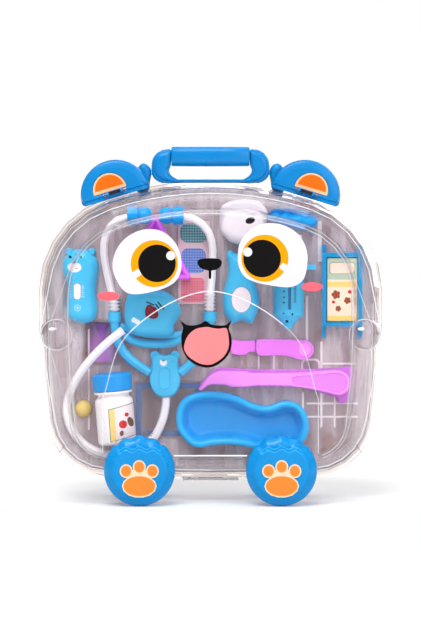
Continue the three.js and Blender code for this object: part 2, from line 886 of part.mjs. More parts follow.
// The bail of the handle: two elbows and a low bar in one piece, with a core rod inside the grip.
function handleFrame() {
  const h = handle;
  const low = -h.barDrop - h.barHeight;
  const lowBar = box(-h.elbowEnd, h.elbowEnd, -h.barDepth / 2, h.barDepth / 2, low, -h.barDrop);
  const core = bar("x", h.coreRadius, -h.elbowEnd - overrun, h.elbowEnd + overrun, [0, h.gripCentre]);
  const bores = [-1, 1].map((across) => {
    const ends = [across * (h.halfWidth - h.pinReach - gap), across * (h.halfWidth + overrun)];
    return bar("x", h.pinRadius + gap, Math.min(...ends), Math.max(...ends), [0, 0]);
  });
  return without(joined(elbow(-1), elbow(1), lowBar, core), ...bores);
}

// The grip: a crowned sleeve that the core rod of the bail runs through.
function gripSolid() {
  const h = handle;
  const count = steps.ring;
  const squared = (value) => Math.sign(value) * Math.abs(value) ** h.gripSquareness;
  const rings = h.crownShares.map(([along, swell]) =>
    Array.from({ length: count }, (_, i) => {
      const angle = (2 * PI * i) / count;
      const y = squared(cos(angle)) * swell * h.gripDepth;
      const z = squared(sin(angle)) * swell * h.gripHeight;
      return new THREE.Vector3(along * h.gripHalf, y / 2, h.gripCentre + z / 2);
    }),
  );
  return loft(rings).subtract(bar("x", h.gripBore, -2 * h.gripHalf, 2 * h.gripHalf, [0, h.gripCentre]));
}

// A lug of the back shell: it stands on the shell wall and holds one end of the handle.
function lugBlock(across) {
  const h = handle;
  const near = h.halfWidth + runningGap;
  const shape = roundedBox(-h.lugDepth / 2, h.lugDepth / 2, -h.lugFoot, h.lugRise, h.lugRound);
  const block = plate(shape, near + h.lugWidth, h.lugWidth, h.edge, steps.corner).rotate([0, 0, -90]);
  const hole = bar("x", h.pinRadius + gap, -2 * near, 2 * near, [0, 0]);
  const ring = ([inset, depth, sag]) => caseRing(inset - gap, gap / 2 + depth, sag);
  const skin = loft(outerSection().map(ring));
  const below = box(-2 * near, 2 * near, -h.depth, h.lugDepth + h.depth, -2 * near, -h.lugFoot);
  const shellThere = skin.translate(handlePivot.map((value) => -value));
  return without(across < 0 ? block.mirror([1, 0, 0]) : block, hole, shellThere, below);
}

function handlePin(across) {
  const h = handle;
  const outside = h.halfWidth + runningGap + h.lugWidth;
  const ends = [across * (h.halfWidth - h.pinReach), across * outside];
  return bar("x", h.pinRadius, Math.min(...ends), Math.max(...ends), [0, 0]);
}

function handleSet() {
  const group = new THREE.Group();
  group.position.set(...handlePivot);
  group.add(piece("handle_frame", handleFrame(), colours.blue));
  group.add(piece("handle_grip", gripSolid(), colours.blue));
  for (const [across, name] of [[-1, "left"], [1, "right"]]) {
    group.add(piece(`handle_lug_${name}`, lugBlock(across), colours.blue));
    group.add(piece(`handle_pin_${name}`, handlePin(across), colours.steel, 0.25, 0.9));
  }
  return group;
}

// How far the inner wall of a shell stands in from the outline at a depth behind the seam.
function innerInset(depth) {
  const near = shell.flangeWidth + shell.wall;
  const far = shell.beltInset + shell.wall;
  const reach = shell.beltDepth - shell.wall;
  if (depth <= reach) return near + ((far - near) * depth) / reach;
  const slope = (shell.shoulderInset - shell.beltInset) / reach;
  return far + shell.stepWidth + (depth - reach) * slope;
}

const tray = { front: 2, thickness: 1.2, skirt: 1, depth: 27 };
const seat = tray.front - gap;
const backing = { y: tray.depth + gap, thickness: 0.6 };

// The tray: a thin formed sheet with a skirt along the wall of the back shell, and openings for the
// pieces that sink into it.
function traySolid() {
  const t = tray;
  const edge = (y, less) => caseRing(innerInset(y) + gap + less, y);
  const body = loft([edge(t.front, 0), edge(t.depth, 0)]);
  const hollow = loft([edge(t.front + t.thickness, t.skirt), edge(t.depth + overrun, t.skirt)]);
  return without(body, hollow, fittedSolid(joined(cupSolid(gap), ballSolid(gap)), tray.front));
}

function backingCard() {
  const b = backing;
  return loft([
    caseRing(innerInset(b.y + b.thickness) + gap, b.y),
    caseRing(innerInset(b.y + b.thickness) + gap, b.y + b.thickness),
  ]);
}

// A group that shrinks with the case towards a plane of fixed depth, and the same for one solid.
function fitted(depth) {
  const group = new THREE.Group();
  group.scale.setScalar(fit);
  group.position.set(0, depth * (1 - fit), widestHeight);
  return group;
}

function fittedSolid(made, depth) {
  const group = fitted(depth);
  group.updateMatrix();
  return made.transform(group.matrix.elements);
}

// The printed face: thin prints on the front panel.
const face = {
  eyeX: 49.7,
  eyeZ: 48.7,
  eyeWidth: 54.4,
  eyeHeight: 50.6,
  noseX: 0,
  noseZ: 44,
  noseWidth: 19,
  noseHeight: 9.8,
  stemWidth: 2,
  stemDrop: 11.4,
  eyeTilt: 2.3,
  cheekTilt: 3.5,
  cheekX: 79.4,
  cheekZ: 22.9,
  cheekWidth: 17.2,
  cheekHeight: 6.8,
  mouthX: -3.4,
  mouthZ: -17.1,
  mouthWidth: 40,
  mouthHeight: 35,
};
const eyeShares = [
  [0, 0.5],
  [0.3, 0.42],
  [0.47, 0.2],
  [0.5, -0.05],
  [0.38, -0.27],
  [0.15, -0.4],
  [-0.14, -0.49],
  [-0.34, -0.45],
  [-0.46, -0.22],
  [-0.5, 0.06],
  [-0.4, 0.33],
  [-0.2, 0.46],
];
const mouthShares = [
  [-0.5, 0.48],
  [-0.44, 0.3],
  [-0.48, 0.05],
  [-0.38, -0.25],
  [-0.12, -0.46],
  [0.16, -0.5],
  [0.4, -0.3],
  [0.5, 0],
  [0.44, 0.3],
  [0.5, 0.49],
  [0.32, 0.38],
  [0.14, 0.34],
  [0, 0.46],
  [-0.14, 0.34],
  [-0.34, 0.38],
];

function facePrint(shape) {
  return plate(shape, panelFace - gap, print.thickness, 0, steps.small);
}

function eyePrint(across) {
  const f = face;
  const shares = eyeShares.map(([x, z]) => [-across * x, z]);
  const lift = across * f.eyeTilt;
  return facePrint(smooth(shares, across * f.eyeX, f.eyeZ + lift, f.eyeWidth, f.eyeHeight, steps.ring));
}

function nosePrint() {
  const f = face;
  const nose = facePrint(ellipse(f.noseX, f.noseZ, f.noseWidth / 2, f.noseHeight / 2));
  const back = panelFace - gap;
  const half = f.stemWidth / 2;
  const front = back - print.thickness;
  const stem = box(f.noseX - half, f.noseX + half, front, back, f.noseZ - f.stemDrop, f.noseZ);
  return nose.add(stem);
}

function faceSet() {
  const f = face;
  const group = fitted(panelFace - gap);
  for (const [across, name] of [[-1, "left"], [1, "right"]]) {
    group.add(piece(`eye_print_${name}`, eyePrint(across), colours.white));
    const cheekZ = f.cheekZ + across * f.cheekTilt;
    const cheek = ellipse(across * f.cheekX, cheekZ, f.cheekWidth / 2, f.cheekHeight / 2);
    group.add(piece(`cheek_print_${name}`, facePrint(cheek), colours.salmon));
  }
  group.add(piece("nose_print", nosePrint(), colours.black));
  const count = 2 * mouthShares.length;
  const mouth = smooth(mouthShares, f.mouthX, f.mouthZ, f.mouthWidth, f.mouthHeight, count);
  group.add(piece("mouth_print", facePrint(mouth), colours.salmon));
  return group;
}

// A round tube along a route of [x, y, z] points.
function tubeAlong(route, radius, stepCount, sides = steps.small) {
  const places = route.map((p) => new THREE.Vector3(...p));
  const path = new THREE.CatmullRomCurve3(places, false, "centripetal");
  const section = new THREE.Shape();
  section.absarc(0, 0, radius, 0, 2 * PI, false);
  const points = section.getPoints(sides / 2);
  const geometry = new THREE.ExtrudeGeometry(new THREE.Shape(points.slice(0, -1)), {
    steps: stepCount,
    bevelEnabled: false,
    extrudePath: path,
  });
  return solid(geometry);
}

const plasterCard = { left: -25.4, right: -0.4, low: 10.9, high: 76.3, thickness: 0.6 };
const hammer = {
  x: -43.3,
  apex: 82.7,
  low: 30.4,
  halfWidth: 28.9,
  depth: 5,
  handleHalf: 4,
  handleLow: 7.3,
  edge: 1,
};
const hammerBack = seat - plasterCard.thickness - gap;
const hammerFront = hammerBack - hammer.depth;

// The stethoscope lies on the tray with its ear tubes up. Its hose loops round the bottle and comes
// up to the chest piece, which rests on the cross bar of the yoke.
const scope = {
  tubeRadius: 3.1,
  ribRadius: 4.3,
  ribThickness: 1.1,
  ribPitch: 2.8,
  ribCount: 5,
  tipRadius: 6.6,
  tipLength: 11,
  collarRadius: 7.2,
  collarLength: 8,
  armRadius: 3.7,
  barRadius: 2.8,
  socketRadius: 5.2,
  socketLength: 6.5,
  socketSink: 1,
  hoseRadius: 3.3,
  leftX: -75.3,
  rightX: -0.4,
  socketZ: -1.5,
  tipZ: 80.9,
  tipGap: 5.6,
  middleX: -43.2,
};
const yokeBody = {
  x: -35.8,
  z: -44,
  width: 24.8,
  height: 35.2,
  thickness: 9.4,
  edge: 2.4,
  earSpread: 8,
  earHeight: -29.3,
  earRadius: 3.4,
  earThickness: 6.4,
};
const tubeY = seat - scope.socketRadius;
const tipY = hammerFront - gap - scope.collarRadius;
const leftTubeRoute = [
  [-65.4, tipY, 79.5],
  [-69.4, tipY, 79.3],
  [-75.4, -10.6, 75.5],
  [-81.4, -8.6, 67.7],
  [-83.8, -6, 57.3],
  [-83.2, tubeY, 45.3],
  [-80.4, tubeY, 31.3],
  [-77, tubeY, 17.3],
  [-75.3, tubeY, 10.3],
  [-75.3, tubeY, 5.4],
];
const rightTubeRoute = [
  [-21, tipY, 79.9],
  [-17, tipY, 79.7],
  [-9, -10.6, 76.1],
  [-1.8, -8.6, 68.3],
  [1.6, -6, 57.3],
  [1.6, tubeY, 43.3],
  [0.8, tubeY, 27.3],
  [-0.2, tubeY, 16.3],
  [-0.4, tubeY, 10.3],
  [-0.4, tubeY, 5.4],
];
const hoseRoute = [
  [-35, -1.8, -62.3],
  [-35.4, -1.8, -70.7],
  [-38.6, -1.8, -83.1],
  [-45.4, -1.8, -95.1],
  [-57, -1.8, -103.3],
  [-72, -1.8, -107.5],
  [-86, -1.8, -106.5],
  [-97.6, -1.8, -101.3],
  [-106.8, -1.8, -92.1],
  [-112.2, -1.8, -80.7],
  [-113.4, -2.2, -69.7],
  [-110.4, -4.4, -58.1],
  [-104.6, -9, -46.3],
  [-94.4, -13.6, -32.3],
  [-81.4, -14.6, -19.1],
  [-68.6, -14.6, -8.7],
];
const leftArmRoute = [
  [-75.3, tubeY, -1.5],
  [-73.4, tubeY, -17.7],
  [-64.6, tubeY, -31.1],
  [-48, tubeY, -43.1],
];
const rightArmRoute = [
  [-0.4, tubeY, -1.5],
  [-3, tubeY, -17.7],
  [-10.8, tubeY, -31.7],
  [-24, tubeY, -43.1],
];
const crossBarRoute = [
  [-71, tubeY, -5.7],
  [-56, tubeY, -11.7],
  [-38, tubeY, -13.3],
  [-18, tubeY, -11.7],
  [-5, tubeY, -5.7],
];

// An ear tube with its ribbed lower end.
function earTube(route) {
  const s = scope;
  const tube = tubeAlong(route, s.tubeRadius, steps.tube);
  const [x, y, z] = route[route.length - 1];
  const ribs = Array.from({ length: s.ribCount }, (_, i) => {
    const low = z + s.ribPitch * (i + 1 / 2);
    return bar("z", s.ribRadius, low, low + s.ribThickness, [x, y]);
  });
  return joined(tube, ...ribs);
}

// An ear tip: a soft bulb behind a collar, turned about the line of the two tips.
const tipShares = [
  [0, 0],
  [0.7, 0.05],
  [1, 0.35],
  [0.98, 0.7],
  [0.8, 1],
];
function earTip(across) {
  const s = scope;
  const inner = s.middleX + (across * s.tipGap) / 2;
  const points = [
    ...tipShares.map(([wide, along]) => new THREE.Vector2(wide * s.tipRadius, along * s.tipLength)),
    new THREE.Vector2(s.collarRadius, s.tipLength),
    new THREE.Vector2(s.collarRadius, s.tipLength + s.collarLength),
    new THREE.Vector2(0, s.tipLength + s.collarLength),
  ];
  const geometry = new THREE.LatheGeometry(points, steps.fine);
  geometry.rotateZ((-across * PI) / 2).translate(inner, tipY, s.tipZ);
  return solid(geometry);
}

// The yoke: two arms, a cross bar, the sockets of the ear tubes and a body in the form of a bear.
function yoke() {
  const s = scope;
  const y = yokeBody;
  const arms = [leftArmRoute, rightArmRoute].map((route) => tubeAlong(route, s.armRadius, steps.arm));
  const cross = tubeAlong(crossBarRoute, s.barRadius, steps.arm);
  const socketLow = s.socketZ - s.socketSink;
  const socketHigh = s.socketZ + s.socketLength;
  const sockets = [s.leftX, s.rightX].map((x) =>
    bar("z", s.socketRadius, socketLow, socketHigh, [x, tubeY], steps.fine),
  );
  const bear = moulded(y, bodyShares);
  const ears = [-1, 1].map((across) => {
    const shape = ellipse(y.x + across * y.earSpread, y.earHeight, y.earRadius, y.earRadius);
    return plate(shape, seat, y.earThickness, 0, steps.curve);
  });
  return joined(...arms, cross, ...sockets, bear, ...ears);
}

const bodyShares = [
  [0, 0.42],
  [0.2, 0.45],
  [0.42, 0.36],
  [0.4, 0.16],
  [0.5, -0.08],
  [0.42, -0.34],
  [0.2, -0.49],
  [-0.2, -0.49],
  [-0.42, -0.34],
  [-0.5, -0.08],
  [-0.4, 0.16],
  [-0.42, 0.36],
  [-0.2, 0.45],
];

// Pieces on the tray that are one moulded body: place, size, thickness and edge round.
const items = {
  thermometer: { x: -102.8, z: 25.7, width: 30, height: 59.3, thickness: 13, edge: 2.6 },
  otoscope: { x: 24.4, z: 24.6, width: 29.8, height: 58.5, thickness: 13, edge: 2.6 },
  chest: { x: -45.6, z: 3.9, width: 45.2, height: 37, thickness: 11, edge: 2.6 },
  scalpelHandle: { x: 59.8, z: -24.3, width: 46.4, height: 17.2, thickness: 7, edge: 1.6 },
  scalpelBlade: { x: 25.6, z: -23.1, width: 19.2, height: 12.8, thickness: 3.4, edge: 0.8 },
  forceps: { x: 51.6, z: -50.3, width: 122.6, height: 29, thickness: 8.6, edge: 1.4 },
  dish: { x: 25.8, z: -81.7, width: 105.4, height: 49, depth: 13, wall: 1.6, rim: 4.6, edge: 1 },
  head: { x: 26.2, z: 75.5, width: 39.4, height: 36.4, thickness: 15, edge: 3.6 },
  grip: { x: 65.9, z: 78.3, width: 40.4, height: 16.6, thickness: 11, edge: 2.2 },
};
const thermometerShares = [
  [0, 0.46],
  [0.2, 0.46],
  [0.33, 0.5],
  [0.44, 0.43],
  [0.5, 0.3],
  [0.46, 0.16],
  [0.39, 0.04],
  [0.39, -0.16],
  [0.42, -0.32],
  [0.37, -0.46],
  [0.2, -0.5],
  [-0.2, -0.5],
  [-0.37, -0.46],
  [-0.42, -0.32],
  [-0.39, -0.16],
  [-0.39, 0.04],
  [-0.46, 0.16],
  [-0.5, 0.3],
  [-0.44, 0.43],
  [-0.33, 0.5],
  [-0.2, 0.46],
];
const otoscopeShares = [
  [0, 0.45],
  [0.14, 0.46],
  [0.28, 0.48],
  [0.32, 0.36],
  [0.34, 0.18],
  [0.44, 0],
  [0.5, -0.2],
  [0.44, -0.4],
  [0.28, -0.5],
  [0.12, -0.46],
  [0, -0.45],
  [-0.12, -0.46],
  [-0.28, -0.5],
  [-0.44, -0.4],
  [-0.5, -0.2],
  [-0.44, 0],
  [-0.34, 0.18],
  [-0.36, 0.36],
  [-0.3, 0.5],
  [-0.14, 0.46],
];
const chestShares = [
  [-0.32, 0.5],
  [0.02, 0.5],
  [0.2, 0.36],
  [0.4, 0.2],
  [0.5, -0.02],
  [0.38, -0.2],
  [0.3, -0.42],
  [0.06, -0.48],
  [-0.2, -0.4],
  [-0.42, -0.32],
  [-0.5, -0.06],
  [-0.38, 0.22],
];
const scalpelHandleShares = [
  [-0.44, 0.4],
  [-0.2, 0.44],
  [0.2, 0.44],
  [0.38, 0.42],
  [0.49, 0.16],
  [0.49, -0.2],
  [0.38, -0.48],
  [0.2, -0.42],
  [0.02, -0.28],
  [-0.2, -0.24],
  [-0.42, -0.26],
  [-0.49, -0.1],
  [-0.5, 0.2],
];
const scalpelBladeShares = [
  [-0.5, 0.42],
  [0.5, 0.38],
  [0.5, -0.3],
  [0.1, -0.34],
  [-0.04, -0.5],
  [-0.3, -0.42],
  [-0.5, -0.3],
];
const forcepsShares = [
  [-0.5, -0.16],
  [-0.46, 0.06],
  [-0.4, 0.26],
  [-0.3, 0.36],
  [-0.14, 0.33],
  [0.1, 0.31],
  [0.3, 0.32],
  [0.44, 0.4],
  [0.5, 0.34],
  [0.5, -0.1],
  [0.48, -0.36],
  [0.4, -0.42],
  [0.3, -0.3],
  [0.16, -0.16],
  [0, -0.08],
  [-0.2, -0.08],
  [-0.34, -0.08],
  [-0.42, -0.14],
  [-0.48, -0.28],
];
const dishShares = [
  [-0.5, 0.1],
  [-0.42, 0.36],
  [-0.26, 0.5],
  [-0.04, 0.44],
  [0.12, 0.26],
  [0.22, 0.2],
  [0.3, 0.26],
  [0.42, 0.22],
  [0.5, -0.02],
  [0.48, -0.3],
  [0.36, -0.48],
  [0.2, -0.5],
  [0.06, -0.46],
  [-0.1, -0.42],
  [-0.24, -0.5],
  [-0.38, -0.46],
  [-0.48, -0.2],
];
const headShares = [
  [-0.5, 0.02],
  [-0.48, 0.26],
  [-0.3, 0.46],
  [0, 0.5],
  [0.34, 0.44],
  [0.48, 0.24],
  [0.5, -0.06],
  [0.4, -0.3],
  [0.14, -0.38],
  [-0.1, -0.48],
  [-0.34, -0.4],
  [-0.44, -0.18],
];
const gripShares = [
  [-0.5, 0.2],
  [-0.4, 0.4],
  [-0.3, 0.34],
  [-0.18, 0.46],
  [-0.06, 0.36],
  [0.06, 0.46],
  [0.18, 0.34],
  [0.3, 0.4],
  [0.44, 0.24],
  [0.5, -0.16],
  [0.36, -0.46],
  [0.1, -0.5],
  [-0.2, -0.3],
  [-0.46, -0.2],
];

// One moulded body with a flat back and rounded front edges.
function moulded(item, shares, back = seat) {
  const shape = smooth(shares, item.x, item.z, item.width, item.height, steps.outline);
  return plate(shape, back, item.thickness, item.edge, steps.small, false);
}

// The kidney dish: a thin tray open to the front, with a rolled rim.
function dishSolid() {
  const d = items.dish;
  const count = steps.dish;
  const shape = (less) => smooth(dishShares, d.x, d.z, d.width - 2 * less, d.height - 2 * less, count);
  const bowl = plate(shape(d.rim / 2), seat, d.depth - d.edge);
  const rim = plate(shape(0), seat - d.depth + d.rim / 2, d.rim, d.edge, steps.small, false);
  const inside = plate(shape(d.rim), seat - d.wall, d.depth + overrun);
  return without(bowl.add(rim), inside);
}

// The reflex hammer: a triangular head on a short handle, behind the ear tips.
function hammerSolid() {
  const h = hammer;
  const shape = new THREE.Shape();
  shape.moveTo(h.x - h.handleHalf, h.handleLow);
  shape.lineTo(h.x + h.handleHalf, h.handleLow);
  shape.lineTo(h.x + h.handleHalf, h.low);
  shape.lineTo(h.x + h.halfWidth, h.low);
  shape.lineTo(h.x + h.handleHalf / 2, h.apex);
  shape.lineTo(h.x - h.handleHalf / 2, h.apex);
  shape.lineTo(h.x - h.halfWidth, h.low);
  shape.lineTo(h.x - h.handleHalf, h.low);
  return plate(shape, hammerBack, h.depth, h.edge);
}

// The medicine cup: slightly tapered, open at the top. Grown by a clearance it is the full body.
const cup = {
  x: -85.4,
  y: 14.2,
  low: -35.1,
  height: 30.4,
  topRadius: 13.1,
  bottomRadius: 10.8,
  wall: 1.2,
};
function cupBody(grow) {
  const c = cup;
  const radii = [c.topRadius + grow, c.bottomRadius + grow];
  const geometry = new THREE.CylinderGeometry(...radii, c.height + 2 * grow, steps.round);
  geometry.rotateX(PI / 2).translate(c.x, c.y, c.low + c.height / 2);
  return solid(geometry);
}
function cupSolid(grow) {
  if (grow > 0) return cupBody(grow);
  return cupBody(0).subtract(cupBody(-cup.wall).translate([0, 0, 2 * cup.wall]));
}

const toyBall = { x: -100.2, y: 2.6, z: -71.8, radius: 7 };
function ballSolid(grow) {
  return ball(toyBall.radius + grow, toyBall.x, toyBall.y, toyBall.z);
}

// The bottle lies a little askew on the tray. Its cap turns on the neck.
const bottle = {
  x: -74.6,
  z: -78.7,
  radius: 15,
  height: 39,
  neckRadius: 12,
  neckHeight: 3,
  capRadius: 15.6,
  capHeight: 13.6,
  tilt: (5 * PI) / 180,
  round: 3,
};
function bottlePlaced(profile, sides = steps.ring) {
  const b = bottle;
  const points = profile.map(([radius, z]) => new THREE.Vector2(radius, z));
  const geometry = new THREE.LatheGeometry(points, sides);
  geometry.rotateX(PI / 2).rotateY(-b.tilt).translate(b.x, seat - b.capRadius, b.z);
  return solid(geometry);
}
function bottleBody() {
  const b = bottle;
  const top = b.height / 2;
  return bottlePlaced([
    [0, -top],
    [b.radius - b.round, -top],
    [b.radius, -top + b.round],
    [b.radius, top - b.round],
    [b.radius - b.round / 3, top - b.round / 3],
    [b.neckRadius, top],
    [b.neckRadius, top + b.neckHeight],
    [0, top + b.neckHeight],
  ]);
}
function bottleCap() {
  const b = bottle;
  const low = b.height / 2 + b.neckHeight + gap;
  return bottlePlaced([
    [0, low],
    [b.capRadius - b.round / 3, low],
    [b.capRadius, low + b.round / 3],
    [b.capRadius, low + b.capHeight - b.round],
    [b.capRadius - b.round, low + b.capHeight],
    [0, low + b.capHeight],
  ]);
}

// The syringe: a barrel with a finger flange, and a plunger that slides in its bore.
const syringe = {
  x: 61.3,
  low: -7.7,
  shoulder: 3.3,
  high: 45.3,
  radius: 12,
  tipRadius: 3,
  tipFlare: 1.3,
  flangeHalf: 21.4,
  flangeLow: 38.9,
  flangeHigh: 42.3,
  bore: 8.4,
  pistonRadius: 8,
  pistonHeight: 4.8,
  rodRadius: 5.6,
  rodLow: 13.3,
  rodHigh: 63.3,
  thumbRadius: 10.6,
  thumb: 2.4,
};
const syringeY = seat - syringe.radius;
function syringeTurned(profile) {
  const points = profile.map(([radius, z]) => new THREE.Vector2(radius, z));
  const geometry = new THREE.LatheGeometry(points, steps.round);
  geometry.rotateX(PI / 2).translate(syringe.x, syringeY, 0);
  return solid(geometry);
}
function syringeBarrel() {
  const g = syringe;
  const barrel = syringeTurned([
    [0, g.low],
    [g.tipRadius, g.low],
    [g.tipRadius * g.tipFlare, g.low + g.tipRadius],
    [g.radius, g.shoulder],
    [g.radius, g.high],
    [0, g.high],
  ]);
  const flange = box(
    g.x - g.flangeHalf,
    g.x + g.flangeHalf,
    syringeY - g.bore,
    syringeY + g.bore,
    g.flangeLow,
    g.flangeHigh,
  );
  const bore = bar("z", g.bore, g.shoulder, g.high + overrun, [g.x, syringeY], steps.round);
  return barrel.add(flange).subtract(bore);
}
function syringePlunger() {
  const g = syringe;
  return syringeTurned([
    [0, g.rodLow],
    [g.pistonRadius, g.rodLow],
    [g.pistonRadius, g.rodLow + g.pistonHeight],
    [g.rodRadius, g.rodLow + g.pistonHeight],
    [g.rodRadius, g.rodHigh],
    [g.thumbRadius, g.rodHigh],
    [g.thumbRadius, g.rodHigh + g.thumb],
    [0, g.rodHigh + g.thumb],
  ]);
}

// The toy bed: a frame with four posts, and a mattress in it.
const bed = {
  left: 87.8,
  right: 119.2,
  low: -6.2,
  high: 51.5,
  postLow: -15.6,
  postHigh: 57.7,
  post: 3.1,
  rail: 3.2,
  depth: 10,
  mattress: 5.2,
  corner: 2,
};
function bedFrame() {
  const b = bed;
  const front = seat - b.depth;
  const block = box(b.left, b.right, front, seat, b.low, b.high);
  const hollow = box(
    b.left + b.rail,
    b.right - b.rail,
    front - overrun,
    seat - b.rail,
    b.low + b.rail,
    b.high - b.rail,
  );
  const posts = [b.left, b.right - b.post].map((x) =>
    box(x, x + b.post, seat - b.post, seat, b.postLow, b.postHigh),
  );
  return joined(block.subtract(hollow), ...posts);
}
function mattress() {
  const b = bed;
  const inset = b.rail + gap;
  const shape = roundedBox(b.left + inset, b.right - inset, b.low + inset, b.high - inset, b.corner);
  return plate(shape, seat - b.rail - gap, b.mattress, 0, steps.corner);
}

// The card of play plasters lies flat on the tray, under the hammer.
function plasters() {
  const p = plasterCard;
  return box(p.left, p.right, seat - p.thickness, seat, p.low, p.high);
}

// A card frame under the tray.
const pictureFrame = { left: -58.9, right: -8.2, low: -93.6, high: -51.5, rail: 4.4, thickness: 1.6 };
function pictureFrameSolid() {
  const p = pictureFrame;
  const front = tray.front + tray.thickness + gap;
  const back = front + p.thickness;
  const window = box(
    p.left + p.rail,
    p.right - p.rail,
    front - overrun,
    back + overrun,
    p.low + p.rail,
    p.high - p.rail,
  );
  return box(p.left, p.right, front, back, p.low, p.high).subtract(window);
}

// The printed face and the contents shrink together where the case gets too small for them.
const room = {
  side: outline.halfWidth - shell.brimInset - shell.wall,
  top: outline.rise - shell.shoulderInset,
  floor: outline.drop - shell.brimInset - shell.wall,
};
const fit = Math.min(
  1,
  room.side / bed.right,
  room.top / (items.head.z + items.head.height / 2),
  room.floor / (items.dish.height / 2 - items.dish.z),
);

// The chest piece lies on the cross bar of the yoke, with a groove for the end of the hose.
function chestPiece() {
  const body = moulded(items.chest, chestShares, tubeY - scope.barRadius);
  return body.subtract(tubeAlong(hoseRoute, scope.hoseRadius + gap, steps.hose));
}

// The head of the mirror, with the socket that its grip plugs into.
function mirrorHead() {
  const grip = items.grip;
  const socket = {
    ...grip,
    width: grip.width + 2 * gap,
    height: grip.height + 2 * gap,
    thickness: grip.thickness + overrun,
  };
  return moulded(items.head, headShares).subtract(moulded(socket, gripShares, seat + overrun / 2));
}

function contents() {
  const group = fitted(tray.front);
  const list = [
    piece("stethoscope_yoke", yoke(), colours.lightBlue),
    piece("ear_tube_left", earTube(leftTubeRoute), colours.white),
    piece("ear_tube_right", earTube(rightTubeRoute), colours.white),
    piece("ear_tip_left", earTip(-1), colours.blue),
    piece("ear_tip_right", earTip(1), colours.blue),
    piece("stethoscope_hose", tubeAlong(hoseRoute, scope.hoseRadius, steps.hose), colours.white),
    piece("chest_piece", chestPiece(), colours.lightBlue),
    piece("thermometer", moulded(items.thermometer, thermometerShares), colours.lightBlue),
    piece("otoscope", moulded(items.otoscope, otoscopeShares), colours.lightBlue),
    piece("scalpel_handle", moulded(items.scalpelHandle, scalpelHandleShares), colours.purple),
    piece("scalpel_blade", moulded(items.scalpelBlade, scalpelBladeShares), colours.purple),
    piece("forceps", moulded(items.forceps, forcepsShares), colours.purple),
    piece("kidney_dish", dishSolid(), colours.blue),
    piece("mirror_head", mirrorHead(), colours.white),
    piece("mirror_grip", moulded(items.grip, gripShares), colours.blue),
    piece("reflex_hammer", hammerSolid(), colours.purple),
    piece("medicine_cup", cupSolid(0), colours.purple),
    piece("toy_ball", ballSolid(0), colours.yellow),
    piece("bottle", bottleBody(), colours.white),
    piece("bottle_cap", bottleCap(), colours.deepBlue),
    piece("syringe_barrel", syringeBarrel(), colours.lightBlue),
    piece("syringe_plunger", syringePlunger(), colours.white),
    piece("bed_frame", bedFrame(), colours.deepBlue),
    piece("mattress", mattress(), colours.cream),
    piece("plaster_card", plasters(), colours.paper),
    piece("picture_frame", pictureFrameSolid(), colours.deepBlue),
  ];
  group.add(...list);
  return group;
}

const toyCase = new THREE.Group();
toyCase.add(piece("front_shell", frontShell(), colours.clear, 0.08));
toyCase.add(piece("rear_shell", rearShell(), colours.clear, 0.08));
toyCase.add(piece("hinge_pin", hingePin(), colours.steel, 0.25, 0.9));
toyCase.add(earSet(-1, "left"), earSet(1, "right"), handleSet());
toyCase.add(wheelSet(-1, -1, "front_left"), wheelSet(-1, 1, "front_right"));
toyCase.add(wheelSet(1, -1, "rear_left"), wheelSet(1, 1, "rear_right"));
toyCase.add(piece("tray", traySolid(), colours.mauve));
toyCase.add(piece("backing_card", backingCard(), colours.card, 0.7));
toyCase.add(faceSet(), contents());

export default toyCase;
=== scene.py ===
from functools import partial, reduce
import json
import math

import bpy
import numpy as np
from mathutils import Matrix, Vector
from mathutils.geometry import convex_hull_2d, delaunay_2d_cdt

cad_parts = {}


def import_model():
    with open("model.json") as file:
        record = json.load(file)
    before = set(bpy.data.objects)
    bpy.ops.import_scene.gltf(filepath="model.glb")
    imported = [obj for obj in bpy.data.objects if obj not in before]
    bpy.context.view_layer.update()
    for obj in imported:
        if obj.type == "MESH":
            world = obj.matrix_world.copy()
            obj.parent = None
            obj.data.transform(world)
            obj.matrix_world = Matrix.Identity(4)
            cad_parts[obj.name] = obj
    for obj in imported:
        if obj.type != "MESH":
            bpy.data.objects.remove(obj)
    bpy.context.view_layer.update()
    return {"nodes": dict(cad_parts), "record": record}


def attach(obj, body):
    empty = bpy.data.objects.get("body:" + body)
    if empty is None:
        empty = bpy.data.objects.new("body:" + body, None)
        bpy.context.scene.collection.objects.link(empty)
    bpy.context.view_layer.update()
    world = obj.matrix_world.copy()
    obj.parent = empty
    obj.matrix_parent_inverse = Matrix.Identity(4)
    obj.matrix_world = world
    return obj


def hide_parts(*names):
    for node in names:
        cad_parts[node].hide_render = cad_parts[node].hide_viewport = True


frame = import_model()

MM = 0.001
NODES = frame["nodes"]
SLOT_OF = {part["node"]: part["material_slot"] for part in frame["record"]["subparts"]}


# ---------------------------------------------------------------- colours and material nodes
def srgb(r, g, b):
    """A colour written in 0 to 255 as the linear colour that a shader takes."""

    def linear(value):
        value /= 255
        return value / 12.92 if value <= 0.04045 else ((value + 0.055) / 1.055) ** 2.4

    return (linear(r), linear(g), linear(b), 1.0)


def shade(colour, factor):
    return tuple(min(1.0, c * factor) for c in colour[:3]) + (1.0,)


